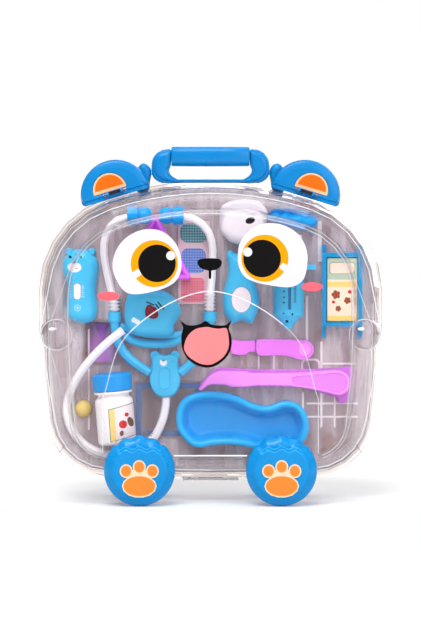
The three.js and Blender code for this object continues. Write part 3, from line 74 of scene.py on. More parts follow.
class Nodes:
    """Short calls for the nodes of any tree."""

    def __init__(self, tree):
        self.tree = tree

    def add(self, kind, inputs=(), **settings):
        """A new node, with values or other nodes' outputs fed into its inputs, by name or number."""
        node = self.tree.nodes.new(kind)
        for key, value in settings.items():
            setattr(node, key, value)
        for key, value in dict(inputs).items():
            self.feed(node.inputs[key], value)
        return node

    def feed(self, socket, value):
        if isinstance(value, bpy.types.NodeSocket):
            self.tree.links.new(value, socket)
        else:
            socket.default_value = value

    def math(self, operation, a, b=0.0, clamp=False):
        return self.add("ShaderNodeMath", {0: a, 1: b}, operation=operation, use_clamp=clamp).outputs[0]

    def span(self, value, low, high, to_low=0.0, to_high=1.0):
        return self.add("ShaderNodeMapRange", enumerate((value, low, high, to_low, to_high))).outputs[0]


class Graph(Nodes):
    """A material's node tree. Places are in millimetres of the model's frame."""

    def __init__(self, name):
        self.material = bpy.data.materials.new(name)
        self.material.use_nodes = True
        super().__init__(self.material.node_tree)
        self.tree.nodes.clear()
        self.output = self.add("ShaderNodeOutputMaterial")
        self.place = self.add("ShaderNodeTexCoord").outputs["Object"]
        self.mm = self.vector("SCALE", self.place, Scale=1 / MM)

    def vector(self, operation, a, b=None, **named):
        inputs = {0: a, **named} if b is None else {0: a, 1: b, **named}
        node = self.add("ShaderNodeVectorMath", inputs, operation=operation)
        return node.outputs["Value" if operation in ("LENGTH", "DOT_PRODUCT") else "Vector"]

    def along(self, direction, offset=0.0, place=None):
        """The distance in millimetres along a direction, from a place at that offset."""
        return self.math("SUBTRACT", self.vector("DOT_PRODUCT", place or self.mm, direction), offset)

    def turned(self, x, z, degrees):
        """Places turned about a centre, for a mark that doesn't stand upright."""
        inputs = {"Vector": self.mm, "Center": (x, 0.0, z), "Angle": math.radians(degrees)}
        return self.add("ShaderNodeVectorRotate", inputs, rotation_type="Y_AXIS").outputs[0]

    def mirrored(self):
        """Places with the left half folded over the right one."""
        return self.vector("ABSOLUTE", self.mm)

    def noise(self, scale, detail=2.0, rough=0.5, stretch=None):
        place = self.vector("MULTIPLY", self.place, stretch) if stretch else self.place
        inputs = {"Vector": place, "Scale": scale, "Detail": detail, "Roughness": rough}
        return self.add("ShaderNodeTexNoise", inputs).outputs["Fac"]

    def blend(self, share, a, b):
        return self.add("ShaderNodeMix", {0: share, 6: a, 7: b}, data_type="RGBA").outputs[2]

    def paint(self, colour, *layers):
        for mask, over in layers:
            colour = self.blend(mask, colour, over)
        return colour

    def oval(self, x, z, half_width, half_height=None, degrees=0.0, soft=0.12, place=None):
        """1 inside an oval mark seen from the front, and 0 outside."""
        half_height = half_height or half_width
        place = place or (self.turned(x, z, degrees) if degrees else self.mm)
        near = self.vector("SUBTRACT", place, (x, 0.0, z))
        near = self.vector("MULTIPLY", near, (1 / half_width, 0.0, 1 / half_height))
        edge = soft / min(half_width, half_height)
        return self.span(self.vector("LENGTH", near), 1 - edge, 1 + edge, 1.0, 0.0)

    def slab(self, x, z, half_width, half_height, corner=0.3, degrees=0.0, soft=0.12, place=None):
        """1 inside a bar or a card with rounded corners, and 0 outside."""
        place = place or (self.turned(x, z, degrees) if degrees else self.mm)
        near = self.vector("ABSOLUTE", self.vector("SUBTRACT", place, (x, 0.0, z)))
        near = self.vector("SUBTRACT", near, (half_width - corner, 0.0, half_height - corner))
        near = self.vector("MULTIPLY", self.vector("MAXIMUM", near, (0.0, 0.0, 0.0)), (1.0, 0.0, 1.0))
        return self.span(self.vector("LENGTH", near), corner - soft, corner + soft, 1.0, 0.0)

    def both(self, *masks):
        return reduce(lambda a, b: self.math("MULTIPLY", a, b), masks)

    def either(self, *masks):
        return reduce(lambda a, b: self.math("MAXIMUM", a, b), masks)

    def outside(self, mask):
        return self.math("SUBTRACT", 1.0, mask)

    def bump(self, height, strength, distance):
        inputs = {"Height": height, "Strength": strength, "Distance": distance}
        return self.add("ShaderNodeBump", inputs).outputs["Normal"]

    def clear(self, colour):
        return self.add("ShaderNodeBsdfTransparent", {"Color": colour})

    def principled(self, **inputs):
        return self.add("ShaderNodeBsdfPrincipled", {key.replace("_", " "): value for key, value in inputs.items()})

    def mixed(self, share, a, b):
        return self.add("ShaderNodeMixShader", {0: share, 1: a.outputs[0], 2: b.outputs[0]})

    def finish(self, shader):
        self.feed(self.output.inputs["Surface"], shader.outputs[0])
        return self.material


def surface(g, colour, rough=0.3, coat=0.1, grain=0.04, gloss=0.2):
    """Glossy moulded plastic or film: cloudy colour, an uneven sheen and a faint skin."""
    clouds = g.span(g.noise(38.0, 3.0), 0.3, 0.7, 0.0, 0.07)
    tint = g.blend(clouds, colour, (0.0, 0.0, 0.0, 1.0))
    return g.principled(
        Base_Color=tint,
        Roughness=g.span(g.noise(90.0, 4.0), 0.25, 0.75, rough * 0.85, rough * 1.2),
        Normal=g.bump(g.noise(700.0, 2.0), grain, 0.0004),
        Specular_IOR_Level=gloss,
        Coat_Weight=coat * 0.5,
        Coat_Roughness=0.14,
    )


def painted(**sheen):
    """Makes a whole material of a function that only gives the colours."""

    def wrap(colours):
        def make(name=colours.__name__):
            g = Graph(name)
            return g.finish(surface(g, colours(g), **sheen))

        return make

    return wrap


def moulded(name, colour, rough=0.3, coat=0.1, gloss=0.2):
    g = Graph(name)
    return g.finish(surface(g, colour, rough, coat, gloss=gloss))


def steel(name):
    g = Graph(name)
    turned = g.noise(1400.0, 2.0)
    return g.finish(
        g.principled(
            Base_Color=g.blend(turned, srgb(176, 180, 186), srgb(205, 208, 214)),
            Metallic=1.0,
            Roughness=g.span(g.noise(300.0), 0.3, 0.7, 0.22, 0.4),
            Normal=g.bump(turned, 0.1, 0.0002),
        )
    )


def glass(name, tint, rough=0.02):
    """Clear hard plastic: plain where it faces the eye, greyer and more mirror-like where it turns away.
    Light from the lamps passes straight through it."""
    g = Graph(name)
    skin = g.bump(g.noise(26.0, 2.0), 0.12, 0.0012)
    turned = g.add("ShaderNodeLayerWeight", {"Blend": 0.5, "Normal": skin}).outputs["Facing"]
    depth = g.blend(g.span(turned, 0.2, 0.98), tint, shade(tint, 0.6))
    plain = g.clear(depth)
    solid = g.principled(
        Base_Color=depth,
        Roughness=g.span(g.noise(60.0, 3.0), 0.35, 0.8, rough, rough * 2.5),
        Normal=skin,
        IOR=1.09,
        Transmission_Weight=1.0,
    )
    shine = g.add("ShaderNodeBsdfAnisotropic", {"Color": (1.0, 0.99, 1.0, 1.0), "Roughness": 0.06, "Normal": skin})
    share = g.span(g.math("POWER", turned, 3.0), 0.0, 1.0, 0.008, 0.8)
    plastic = g.mixed(share, g.mixed(0.18, plain, solid), shine)
    ray = g.add("ShaderNodeLightPath")
    open_ray = g.either(ray.outputs["Is Shadow Ray"], ray.outputs["Is Diffuse Ray"])
    return g.finish(g.mixed(open_ray, plastic, g.clear((0.985, 0.98, 0.985, 1.0))))


WHEEL_X, WHEEL_RADIUS, WHEEL_BACK, PAW_X = 55.338, 27.7, -38.15, 55.34
BLUE = srgb(0, 138, 207)
DEEP_BLUE = srgb(0, 120, 196)
LIGHT_BLUE = srgb(68, 194, 244)
PURPLE = srgb(226, 122, 246)
WHITE = srgb(244, 242, 247)
BLACK = srgb(10, 8, 9)
ORANGE = srgb(238, 104, 14)
CREAM = srgb(240, 186, 142)
TOY_PAINT = painted(rough=0.3, coat=0.35)


@painted(rough=0.4, coat=0.0, gloss=0.08)
def eyes(g):
    """The printed eyes: an amber iris with a notch, a black pupil and a highlight."""
    amber, white = srgb(238, 152, 2), srgb(226, 219, 232)
    return g.paint(
        white,
        (g.either(g.oval(-43.6, 189.3, 18.3), g.oval(42.2, 193.5, 18.3)), amber),
        (g.either(g.slab(-57.2, 181.5, 3.4, 2.6, 1.4, 35), g.slab(57.4, 186.2, 3.4, 2.6, 1.4, -35)), white),
        (g.either(g.oval(-41.5, 189.5, 14.6), g.oval(40.0, 193.3, 14.6)), BLACK),
        (g.either(g.oval(-30.8, 195.5, 3.5), g.oval(28.8, 198.3, 3.5)), white),
    )


@painted(rough=0.4, coat=0.0, gloss=0.1)
def paw_colours(g):
    """The paw on a wheel: an orange pad and toes with a cream border."""
    folded = g.mirrored()
    spots = [(0, -11.3, 12.3, 7.8), (-10.2, 0.4, 3.9, 4.3), (0, 3.6, 3.9, 4.3), (10.2, 0.4, 3.9, 4.3)]
    masks = [g.oval(PAW_X + x, WHEEL_RADIUS + z, w, h, place=folded) for x, z, w, h in spots]
    return g.paint(srgb(240, 206, 172), (g.either(*masks), srgb(240, 132, 52)))


@painted(rough=0.26, coat=0.2)
def wheel_with_painted_ledge_light(g):
    """Blue plastic, with a painted shade line and a painted highlight line along each wave over the paw, where the
    face steps.
    """
    folded = g.mirrored()
    across, up = g.along((1, 0, 0), PAW_X, folded), g.along((0, 0, 1), 0.0, folded)
    near = g.span(g.math("ABSOLUTE", across), 15.0, 17.0, 1.0, 0.0)

    def wave(reach, top):
        ripple = g.math("COSINE", g.both(across, 3 * math.pi / reach))
        dome = g.math("COSINE", g.both(across, math.pi / (2 * reach)))
        crest = g.math("ADD", g.both(ripple, 1.1), g.both(dome, 1.6))
        return g.math("SUBTRACT", up, g.math("ADD", crest, WHEEL_RADIUS + top + 1.1))

    def stripe(height, low, high):
        return g.both(near, g.span(height, low - 0.3, low + 0.3), g.span(height, high - 0.3, high + 0.3, 1.0, 0.0))

    outer, inner = wave(16.5, 16.6), wave(16.4, 14.0)
    return g.paint(
        BLUE,
        # Painted shade: a darker blue line along each wave step.
        (g.both(g.either(stripe(outer, -0.1, 0.7), stripe(inner, -0.1, 0.6)), 0.75), srgb(0, 112, 194)),
        # Painted highlight: a lighter blue line along each wave step.
        (g.both(g.either(stripe(outer, -1.0, -0.2), stripe(inner, -0.9, -0.2)), 0.6), srgb(40, 184, 244)),
    )


@painted(rough=0.35, coat=0.1, gloss=0.1)
def inlay_colours(g):
    """The inlay of an ear: orange with a cream edge, on both ears alike."""
    folded = g.mirrored()
    u, v = g.along((EAR_COS, 0, -EAR_SIN), EAR_U, folded), g.along((EAR_SIN, 0, EAR_COS), EAR_V, folded)
    place = g.add("ShaderNodeCombineXYZ", {"X": u, "Z": v}).outputs[0]
    disc = g.oval(3.2, 5.6, 11.6, 11.4, place=place)
    above = g.span(v, 6.4, 6.7)
    return g.paint(CREAM, (g.both(disc, above), ORANGE))


@painted(rough=0.8, coat=0.0, grain=0.1)
def backing(g):
    """Printed card at the back: soft mauve, brown and pale patches that run down it."""
    streaks = g.noise(9.0, 5.0, 0.62, (6.0, 1.0, 1.1))
    patches = g.noise(14.0, 3.0, 0.55)
    wood = g.blend(g.noise(60.0, 3.0, 0.6, (3.0, 1.0, 0.6)), srgb(196, 140, 104), srgb(168, 112, 84))
    colour = g.blend(g.span(patches, 0.34, 0.62), srgb(226, 202, 194), srgb(232, 222, 228))
    colour = g.blend(g.span(streaks, 0.42, 0.66, 0.0, 0.7), colour, srgb(166, 144, 154))
    clouds = g.noise(22.0, 4.0, 0.6, (1.0, 1.0, 3.0))
    colour = g.blend(g.span(clouds, 0.54, 0.68, 0.0, 0.8), colour, srgb(240, 232, 238))
    worn = g.span(g.noise(45.0, 3.0), 0.4, 0.52)
    boards = [
        (-101, 126, 9, 15), (92, 122, 10, 13), (44, 109, 20, 5), (96, 44, 16, 9), (20, 36, 34, 5), (-20, 238, 40, 7),
    ]
    near = [g.slab(*board, 3.0, soft=2.5) for board in boards]
    colour = g.paint(colour, (g.both(g.either(*near), worn), wood))
    plain = g.blend(g.span(g.noise(30.0, 3.0), 0.3, 0.7), srgb(222, 214, 220), srgb(236, 230, 236))
    rear = g.span(g.along((0, 1, 0), 27.6), -0.05, 0.05)
    return g.blend(rear, colour, plain)


def tray_sheet(name):
    """The formed tray: a thin mauve sheet with pale ribs, through which the back shows."""
    g = Graph(name)
    ribs = [
        (87.5, 92, 0.9, 34), (79, 103, 7.5, 9.5, 4), (101, 108.5, 14, 0.7), (96, 77, 20, 0.7), (96, 66.5, 20, 0.7),
        (73, 72, 0.7, 14), (98, 72, 0.7, 14), (-96, 96, 0.7, 40), (38, 105, 0.7, 14), (50, 105, 0.7, 14),
        (86, 205, 1.6, 16), (76, 140, 1, 22),
    ]
    hollow = g.slab(79.0, 103.0, 5.9, 7.9, 3.0)
    rib = g.both(g.either(*(g.slab(*place) for place in ribs)), g.outside(hollow))
    streaks = g.noise(10.0, 5.0, 0.6, (7.0, 1.0, 1.0))
    colour = g.blend(g.span(streaks, 0.35, 0.65), srgb(202, 190, 200), srgb(244, 238, 242))
    colour = g.paint(colour, (g.both(rib, 0.8), srgb(248, 240, 246)))
    thin = g.either(g.slab(-33.5, 72.0, 27.0, 23.0, 2.0, soft=1.0), g.slab(-85.0, 125.0, 15.0, 18.0, 3.0, soft=1.5))
    cover = g.both(g.span(streaks, 0.3, 0.7, 0.14, 0.46), g.span(thin, 0.0, 1.0, 1.0, 0.3))
    cover = g.math("ADD", cover, g.both(rib, 0.4), clamp=True)
    return g.finish(g.mixed(cover, g.clear((0.96, 0.94, 0.96, 1.0)), surface(g, colour, 0.3, 0.3)))


@TOY_PAINT
def thermometer_paint(g):
    ticks = [g.slab(-101.0 + 0.3 * (i % 2), 170.6 - 1.75 * i, 1.5 + 0.3 * (i % 2), 0.28, 0.2) for i in range(6)]
    ticks += [g.slab(-110.2, 170.4 - 2.2 * i, 0.9, 0.28, 0.2) for i in range(5)]
    window = g.slab(-104.6, 166.2, 2.7, 6.3, 2.6)
    frame_line = g.slab(-104.6, 166.2, 3.2, 6.8, 3.1)
    ring = g.both(g.oval(-104.3, 153.2, 2.6), g.outside(g.oval(-104.3, 153.2, 2.1)))
    return g.paint(
        LIGHT_BLUE,
        (g.either(*ticks), srgb(190, 236, 250)),
        (frame_line, srgb(110, 150, 175)),
        (window, srgb(246, 240, 250)),
        (g.either(ring, g.oval(-104.3, 153.2, 0.9)), srgb(190, 232, 248)),
        (g.oval(-106.7, 185.0, 5.4, 3.9), srgb(248, 243, 246)),
        (g.either(g.oval(-110.1, 193.1, 1.15), g.oval(-102.0, 193.3, 1.15), g.oval(-106.9, 188.9, 1.7, 1.0)), BLACK),
        (g.slab(-105.0, 184.2, 1.0, 0.25, 0.2, 8), srgb(90, 70, 80)),
    )


@TOY_PAINT
def otoscope_paint(g):
    return g.paint(
        LIGHT_BLUE,
        (g.oval(24.2, 159.7, 8.1, 10.4), srgb(96, 150, 190)),
        (g.oval(24.2, 159.7, 7.6, 9.9), srgb(244, 238, 248)),
    )


@TOY_PAINT
def chest_paint(g):
    strokes = [
        g.slab(-47.2, 157.0, 3.4, 0.5, 0.3, -22),
        g.slab(-41.0, 154.0, 0.55, 3.2, 0.35, 40),
        g.slab(-38.8, 155.2, 0.55, 3.8, 0.35, 40),
        g.slab(-42.8, 152.6, 0.45, 2.2, 0.3, 40),
    ]
    return g.paint(
        LIGHT_BLUE,
        (g.either(*strokes), BLACK),
        # The pale slab is a painted highlight on the chest piece.
        (g.slab(-58.6, 143.2, 3.2, 1.9, 0.8, -28), srgb(236, 250, 255)),
    )


@TOY_PAINT
def bear_paint(g):
    return g.paint(
        LIGHT_BLUE,
        (g.oval(-37.0, 110.2, 2.8, 2.9), srgb(236, 244, 250)),
        (g.either(g.oval(-36.9, 112.0, 1.4, 1.0), g.oval(-40.4, 113.4, 0.95), g.oval(-33.5, 113.6, 0.95)), BLACK),
    )


@painted(rough=0.25, coat=0.4)
def head_paint(g):
    return g.paint(srgb(238, 234, 244), (g.oval(31.1, 221.8, 3.8, 2.5, 16), BLACK))


@TOY_PAINT
def syringe_paint(g):
    marks = [g.slab(66.1, 170.6 - 1.55 * i, 1.1, 0.32, 0.2) for i in range(9)]
    dots = [g.oval(57.5, z, 0.75) for z in (166.7, 162.0, 157.8)]
    dots += [g.oval(57.3, 149.4, 0.7), g.oval(64.0, 148.7, 0.9), g.oval(59.9, 142.9, 1.2)]
    return g.paint(
        LIGHT_BLUE,
        (g.slab(61.9, 162.0, 1.2, 9.6, 0.4), srgb(16, 112, 170)),
        (g.either(*marks, *dots), srgb(14, 34, 66)),
    )


@painted(rough=0.6, coat=0.0)
def mattress_print(g):
    """A toy blanket: pillow, two yellow bands and a few flowers."""
    middle, low, high = 103.5, 142.0, 192.7
    flowers = [(98.6, 163.4, 3.4), (107.6, 158.8, 2.7), (100.4, 152.4, 2.3)]
    petals, hearts = [], []
    for x, z, size in flowers:
        for k in range(5):
            angle = 2 * math.pi * k / 5 + x
            petals.append(g.oval(x + size * 0.62 * math.cos(angle), z + size * 0.62 * math.sin(angle), size * 0.44))
        hearts.append(g.oval(x, z, size * 0.32))
    return g.paint(
        srgb(244, 222, 200),
        (g.slab(middle, high - 6.5, 13.0, 11.0, 0.4), srgb(180, 198, 176)),
        (g.slab(middle, high - 8.5, 9.9, 4.6, 2.2), srgb(110, 120, 110)),
        (g.slab(middle, high - 8.5, 9.5, 4.2, 2.0), srgb(240, 220, 206)),
        (g.either(g.slab(middle, 171.6, 13.0, 2.0), g.slab(middle, low + 2.6, 13.0, 2.2)), srgb(246, 206, 120)),
        (g.either(*petals), srgb(134, 78, 48)),
        (g.either(*hearts, g.oval(109.4, 165.6, 1.5), g.oval(96.6, 157.6, 1.3)), srgb(206, 34, 28)),
        (g.outside(g.slab(middle, (low + high) / 2, 11.6, 24.7, 0.6)), srgb(50, 110, 110)),
    )


@painted(rough=0.5, coat=0.1)
def plaster_print(g):
    """Three play plasters with dots, on a pale card."""
    row, column = g.along((0.72, 0, 0.72)), g.along((0.72, 0, -0.72))
    grid = g.both(g.math("SINE", g.both(row, 2.1)), g.math("SINE", g.both(column, 2.1)))
    dots = g.span(grid, 0.18, 0.42)
    patches = [
        ((-13.0, 211.5, 11.2, 7.6, 6.5), srgb(38, 126, 136)),
        ((-13.4, 189.8, 9.6, 9.8, 5.5), srgb(56, 104, 196)),
        ((-13.8, 166.6, 9.2, 9.6, 3.5), srgb(222, 76, 112)),
    ]
    colour = srgb(214, 186, 196)
    for place, ink in patches:
        patch = g.slab(*place)
        colour = g.paint(colour, (patch, ink), (g.both(patch, dots, 0.62), srgb(214, 226, 236)))
    return colour


@painted(rough=0.35, coat=0.2)
def bottle_paint(g):
    """A white bottle with a plain label on its front: a green line, a yellow band and a few spots."""
    front = g.span(g.along((0, 1, 0)), -13.2, -13.0, 1.0, 0.0)
    sheared = g.turned(-70.0, 66.0, 4)
    rise = g.math("ADD", g.both(g.along((1, 0, 0), 0.0, sheared), -0.19), -0.19 * 70.0)
    place = g.vector("ADD", sheared, g.add("ShaderNodeCombineXYZ", {"Z": rise}).outputs[0])
    label = g.slab(-68.0, 64.0, 11.4, 12.9, 0.3, place=place)
    inside = g.slab(-68.0, 64.0, 10.8, 12.3, 0.3, place=place)
    band = g.slab(-76.6, 64.0, 2.2, 12.3, 0.3, place=place)
    marks = [
        (label, srgb(24, 118, 62)),
        (inside, srgb(240, 232, 238)),
        (band, srgb(248, 214, 130)),
        (g.either(g.oval(-68.4, 62.8, 3.2), g.oval(-65.6, 70.4, 1.6)), srgb(206, 34, 36)),
        (g.either(g.oval(-62.6, 64.6, 2.2, 4.0, 20), g.oval(-69.4, 56.0, 1.5, 2.1, -20)), srgb(112, 70, 52)),
    ]
    return g.paint(WHITE, *((g.both(front, mask), ink) for mask, ink in marks))


@painted(rough=0.3, coat=0.3)
def cup_paint(g):
    return g.blend(g.span(g.along((0, 0, 1)), 120.0, 136.0), srgb(206, 120, 226), srgb(104, 58, 140))


@painted(rough=0.28, coat=0.35)
def dish_paint(g):
    """Blue plastic, a little lighter on the rolled rim than in the bowl. The lighter rim is a painted highlight, and
    the bowl's blue is painted lighter to make up for the shade it lies in.
    """
    rim_painted_highlight = g.span(g.along((0, -1, 0)), 7.0, 11.0)
    return g.blend(rim_painted_highlight, srgb(0, 158, 238), srgb(14, 178, 250))


def line_paint(name, cover, colour=srgb(252, 250, 253)):
    """A painted line along a moulded ridge: a painted highlight in a light colour, painted shade in a dark one."""
    g = Graph(name)
    shown = g.span(g.noise(22.0, 2.0), 0.3, 0.7, cover * 0.55, cover)
    return g.finish(g.mixed(shown, g.clear((1.0, 1.0, 1.0, 1.0)), surface(g, colour, 0.2, 0.4)))


OUTLINE_TOP, TOP_RADIUS, HALF_WIDTH = 252.7, 257.4, 135.3
EAR_SIN = HALF_WIDTH * 0.55 / TOP_RADIUS
EAR_COS = math.sqrt(1 - EAR_SIN**2)
EAR_X = TOP_RADIUS * EAR_SIN
EAR_Z = OUTLINE_TOP - TOP_RADIUS + TOP_RADIUS * EAR_COS
EAR_U = EAR_X * EAR_COS - EAR_Z * EAR_SIN
EAR_V = EAR_X * EAR_SIN + EAR_Z * EAR_COS

MAKE = {
    "clear_plastic": glass("clear_plastic", srgb(251, 248, 247)),
    "steel": steel("steel"),
    "blue_plastic": moulded("blue_plastic", srgb(0, 124, 192)),
    "light_blue_plastic": moulded("light_blue_plastic", LIGHT_BLUE),
    "purple_plastic": moulded("purple_plastic", PURPLE),
    "white_plastic": moulded("white_plastic", WHITE, 0.35),
    "yellow_plastic": moulded("yellow_plastic", srgb(228, 205, 120), 0.5),
    "orange_inlay": inlay_colours("orange_inlay"),
    "orange_print": paw_colours("orange_print"),
    "eye_print": eyes("eye_print"),
    "black_print": moulded("black_print", BLACK, 0.4, 0.0, 0.06),
    "mouth_print": moulded("mouth_print", srgb(238, 130, 132), 0.4, 0.0, 0.08),
    "cheek_print": moulded("cheek_print", srgb(240, 98, 110), 0.4, 0.0, 0.08),
    "tray_plastic": tray_sheet("tray_plastic"),
    "backing_paper": backing("backing_paper"),
    "mattress_paper": mattress_print("mattress_paper"),
    "plaster_paper": plaster_print("plaster_paper"),
}
BEAR_SKIN = bear_paint()
DEEP = moulded("deep_blue_plastic", DEEP_BLUE)
# Painted highlight lines, bright and faint, and a painted shade line, for the ridges of the lid.
LINE = line_paint("line_paint", 0.85)
FAINT_LINE = line_paint("faint_line", 0.55)
SHADE_LINE = line_paint("painted_shade_line", 0.5, srgb(112, 102, 108))
# Painted shade for the inside of the ear slots.
SLOT_SHADE = moulded("slot_painted_shade", srgb(22, 26, 34), 0.4, 0.1)
# Painted shade: the steel latch pins get a dark blue-grey in place of steel.
SHADED_PIN = moulded("pin_painted_shade", srgb(70, 120, 170), 0.5)
# A lighter copy of the blue plastic for the stethoscope tips and the mirror grip inside the case: painted light,
# making up for the light the clear shell takes away.
BLUE_PAINTED_LIGHTER = moulded("blue_painted_lighter", srgb(0, 160, 238))
FINISH_OF = {
    "medicine_cup": cup_paint(),
    "syringe_barrel": syringe_paint(),
    "bottle_cap": moulded("cap_blue", srgb(0, 148, 228)),
    "latch_pin_left": SHADED_PIN,
    "latch_pin_right": SHADED_PIN,
    # The bed's blue is painted lighter too, to make up for the light the clear shell takes away.
    "bed_frame": moulded("bed_blue", srgb(0, 146, 208)),
    "wheel_front_left": wheel_with_painted_ledge_light(),
    "picture_frame": DEEP,
    "handle_frame": moulded("handle_blue", srgb(0, 124, 192)),
    "ear_tip_left": BLUE_PAINTED_LIGHTER,
    "ear_tip_right": BLUE_PAINTED_LIGHTER,
    "mirror_grip": BLUE_PAINTED_LIGHTER,
}
SHARP = math.radians(33)


def smoothing():
    """Joins the corners of a CAD mesh and shades it smooth, apart from its sharp edges."""
    tree = bpy.data.node_groups.new("smoothing", "GeometryNodeTree")
    for way in ("INPUT", "OUTPUT"):
        tree.interface.new_socket("Geometry", in_out=way, socket_type="NodeSocketGeometry")
    n = Nodes(tree)
    turn = n.add("GeometryNodeInputMeshEdgeAngle").outputs["Unsigned Angle"]
    small = n.add("FunctionNodeCompare", {"A": turn, "B": SHARP}, operation="LESS_THAN").outputs[0]
    chain = [
        n.add("NodeGroupInput"),
        n.add("GeometryNodeMergeByDistance", {"Distance": 0.002 * MM}),
        n.add("GeometryNodeRemoveAttribute", {"Name": "custom_normal"}),
        n.add("GeometryNodeSetShadeSmooth", {"Shade Smooth": True}),
        n.add("GeometryNodeSetShadeSmooth", {"Shade Smooth": small}, domain="EDGE"),
        n.add("NodeGroupOutput"),
    ]
    for a, b in zip(chain, chain[1:]):
        n.feed(b.inputs[0], a.outputs[0])
    return tree


SMOOTHING = smoothing()
for node, part in NODES.items():
    part.data.materials.clear()
    part.data.materials.append(FINISH_OF.get(node, MAKE[SLOT_OF[node]]))
    part.modifiers.new("smoothing", "NODES").node_group = SMOOTHING


# ---------------------------------------------------------------- outlines, in millimetres
PIXEL_MM = 0.78
MIDDLE_COLUMN, FOOT_ROW = 210.5, 505.5


def seen(*points):
    """Places picked in the photograph, by column and row, in millimetres of the frame."""
    return [((x - MIDDLE_COLUMN) * PIXEL_MM, (FOOT_ROW - y) * PIXEL_MM) for x, y in points]


def loop(points, per=8):
    """A smooth closed outline through the points, anticlockwise as seen from the front."""
    p = np.array(points, float)
    a, b, c, d = (np.roll(p, shift, 0)[:, None, :] for shift in (1, 0, -1, -2))
    t = (np.arange(per) / per)[None, :, None]
    curve = 0.5 * (2 * b + (c - a) * t + (2 * a - 5 * b + 4 * c - d) * t**2 + (3 * b - a - 3 * c + d) * t**3)
    return anticlockwise(curve.reshape(-1, 2))


def anticlockwise(points):
    x, z = points[:, 0], points[:, 1]
    area = np.sum(x * np.roll(z, -1) - np.roll(x, -1) * z)
    return points if area > 0 else points[::-1]


def oval(x, z, half_width, half_height, count=40):
    turn = 2 * np.pi * np.arange(count) / count
    return np.stack([x + half_width * np.cos(turn), z + half_height * np.sin(turn)], 1)


def shifted(outline, inset):
    """An outline moved inwards. Places where it would run into itself are left out."""
    if not len(outline):
        return outline
    before, after = np.roll(outline, 1, 0), np.roll(outline, -1, 0)
    run = after - before
    run /= np.maximum(np.linalg.norm(run, axis=1, keepdims=True), 1e-9)
    moved = outline + inset * np.stack([-run[:, 1], run[:, 0]], 1)
    return moved[depth_in(moved, outline) > 0.9 * inset]


def depth_in(points, outline):
    """How far points lie inside a closed outline, negative outside."""
    a, b = outline, np.roll(outline, -1, 0)
    ab = b - a
    ap = points[:, None, :] - a[None]
    t = np.clip((ap * ab).sum(2) / np.maximum((ab * ab).sum(1), 1e-12), 0, 1)
    away = np.sqrt(((ap - t[..., None] * ab) ** 2).sum(2)).min(1)
    x, z = points[:, :1], points[:, 1:]
    rise = np.where(np.abs(ab[:, 1]) < 1e-12, 1e-12, ab[:, 1])
    crossing = ((a[:, 1] > z) != (b[:, 1] > z)) & (x < a[:, 0] + (z - a[:, 1]) * ab[:, 0] / rise)
    return np.where(crossing.sum(1) % 2 == 1, away, -away)


def smoothstep(t):
    t = np.clip(t, 0, 1)
    return t * t * (3 - 2 * t)


# ---------------------------------------------------------------- pieces
def put(name, corners, faces, slot, body, material=None, nodes=(), matrix=None, bend=50):
    """Makes a piece of corners in millimetres, and lets it ride on a body."""
    mesh = bpy.data.meshes.new(name)
    mesh.from_pydata([tuple(float(v) * MM for v in corner) for corner in corners], [], faces)
    mesh.validate()
    if matrix is not None:
        placed = matrix.copy()
        placed.translation = placed.translation * MM
        mesh.transform(placed)
    mesh.shade_smooth()
    mesh.set_sharp_from_angle(angle=math.radians(bend))
    mesh.materials.append(material or MAKE[slot])
    item = bpy.data.objects.new(name, mesh)
    bpy.context.scene.collection.objects.link(item)
    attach(item, body)
    if nodes:
        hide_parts(*nodes)
    return item


def relief(name, outline, back, thickness, edge, slot, body, low=None, marks=(), grid=1.4, swell=None, **place):
    """A moulded body with a flat back at a depth. Its front swells over the width of the edge, measured
    from the outline or another one, and each mark (outline, rise, slope) raises or sinks it."""
    low = 0.35 * thickness if low is None else low
    rings = [shifted(outline, edge * share) for share in (0.03, 0.12, 0.28, 0.52, 0.8, 1.0)]
    for mark, _, slope in marks:
        rings += [mark, shifted(mark, slope / 2), shifted(mark, slope)]
    extra = np.concatenate([ring for ring in rings if len(ring)])
    extra = extra[depth_in(extra, outline) > 0.02]
    lowest, highest = outline.min(0), outline.max(0)
    columns = np.arange(lowest[0], highest[0], grid)
    rows = np.arange(lowest[1], highest[1], grid * 0.87)
    field = np.array([(x + grid / 2 * (i % 2), z) for i, z in enumerate(rows) for x in columns])
    field = field[depth_in(field, outline) > grid / 2]
    known = np.concatenate([outline, extra])
    near = np.sqrt(((field[:, None] - known[None]) ** 2).sum(2)).min(1)
    given = np.concatenate([known, field[near > grid * 0.45]])
    count = len(outline)
    made = delaunay_2d_cdt([Vector(p) for p in given], [], [list(range(count))], 1, 1e-5)
    flat, triangles, origin = np.array(made[0]), made[2], made[3]
    new_of = {old: new for new, olds in enumerate(origin) for old in olds}
    depth = depth_in(flat, outline if swell is None else swell)
    share = np.clip(depth / edge, 0, 1)
    height = low + (thickness - low) * np.sqrt(1 - (1 - share) ** 2)
    for mark, rise, slope in marks:
        height += rise * smoothstep(depth_in(flat, mark) / slope)
    corners = [(x, back - h, z) for (x, z), h in zip(flat, height)]
    first = len(corners)
    ring = [new_of[i] for i in range(count) if i in new_of]
    corners += [(flat[i][0], back, flat[i][1]) for i in ring]
    faces = [tuple(face) for face in triangles]
    for i in range(len(ring)):
        j = (i + 1) % len(ring)
        faces.append((ring[i], first + i, first + j, ring[j]))
    faces.append(tuple(first + i for i in reversed(range(len(ring)))))
    return put(name, corners, faces, slot, body, **place)


def tube(rings, count):
    """The faces between rings of corners, with both ends closed."""
    faces = []
    for r in range(rings - 1):
        for i in range(count):
            j = (i + 1) % count
            faces.append((r * count + i, r * count + j, (r + 1) * count + j, (r + 1) * count + i))
    return faces + [tuple(reversed(range(count))), tuple((rings - 1) * count + i for i in range(count))]


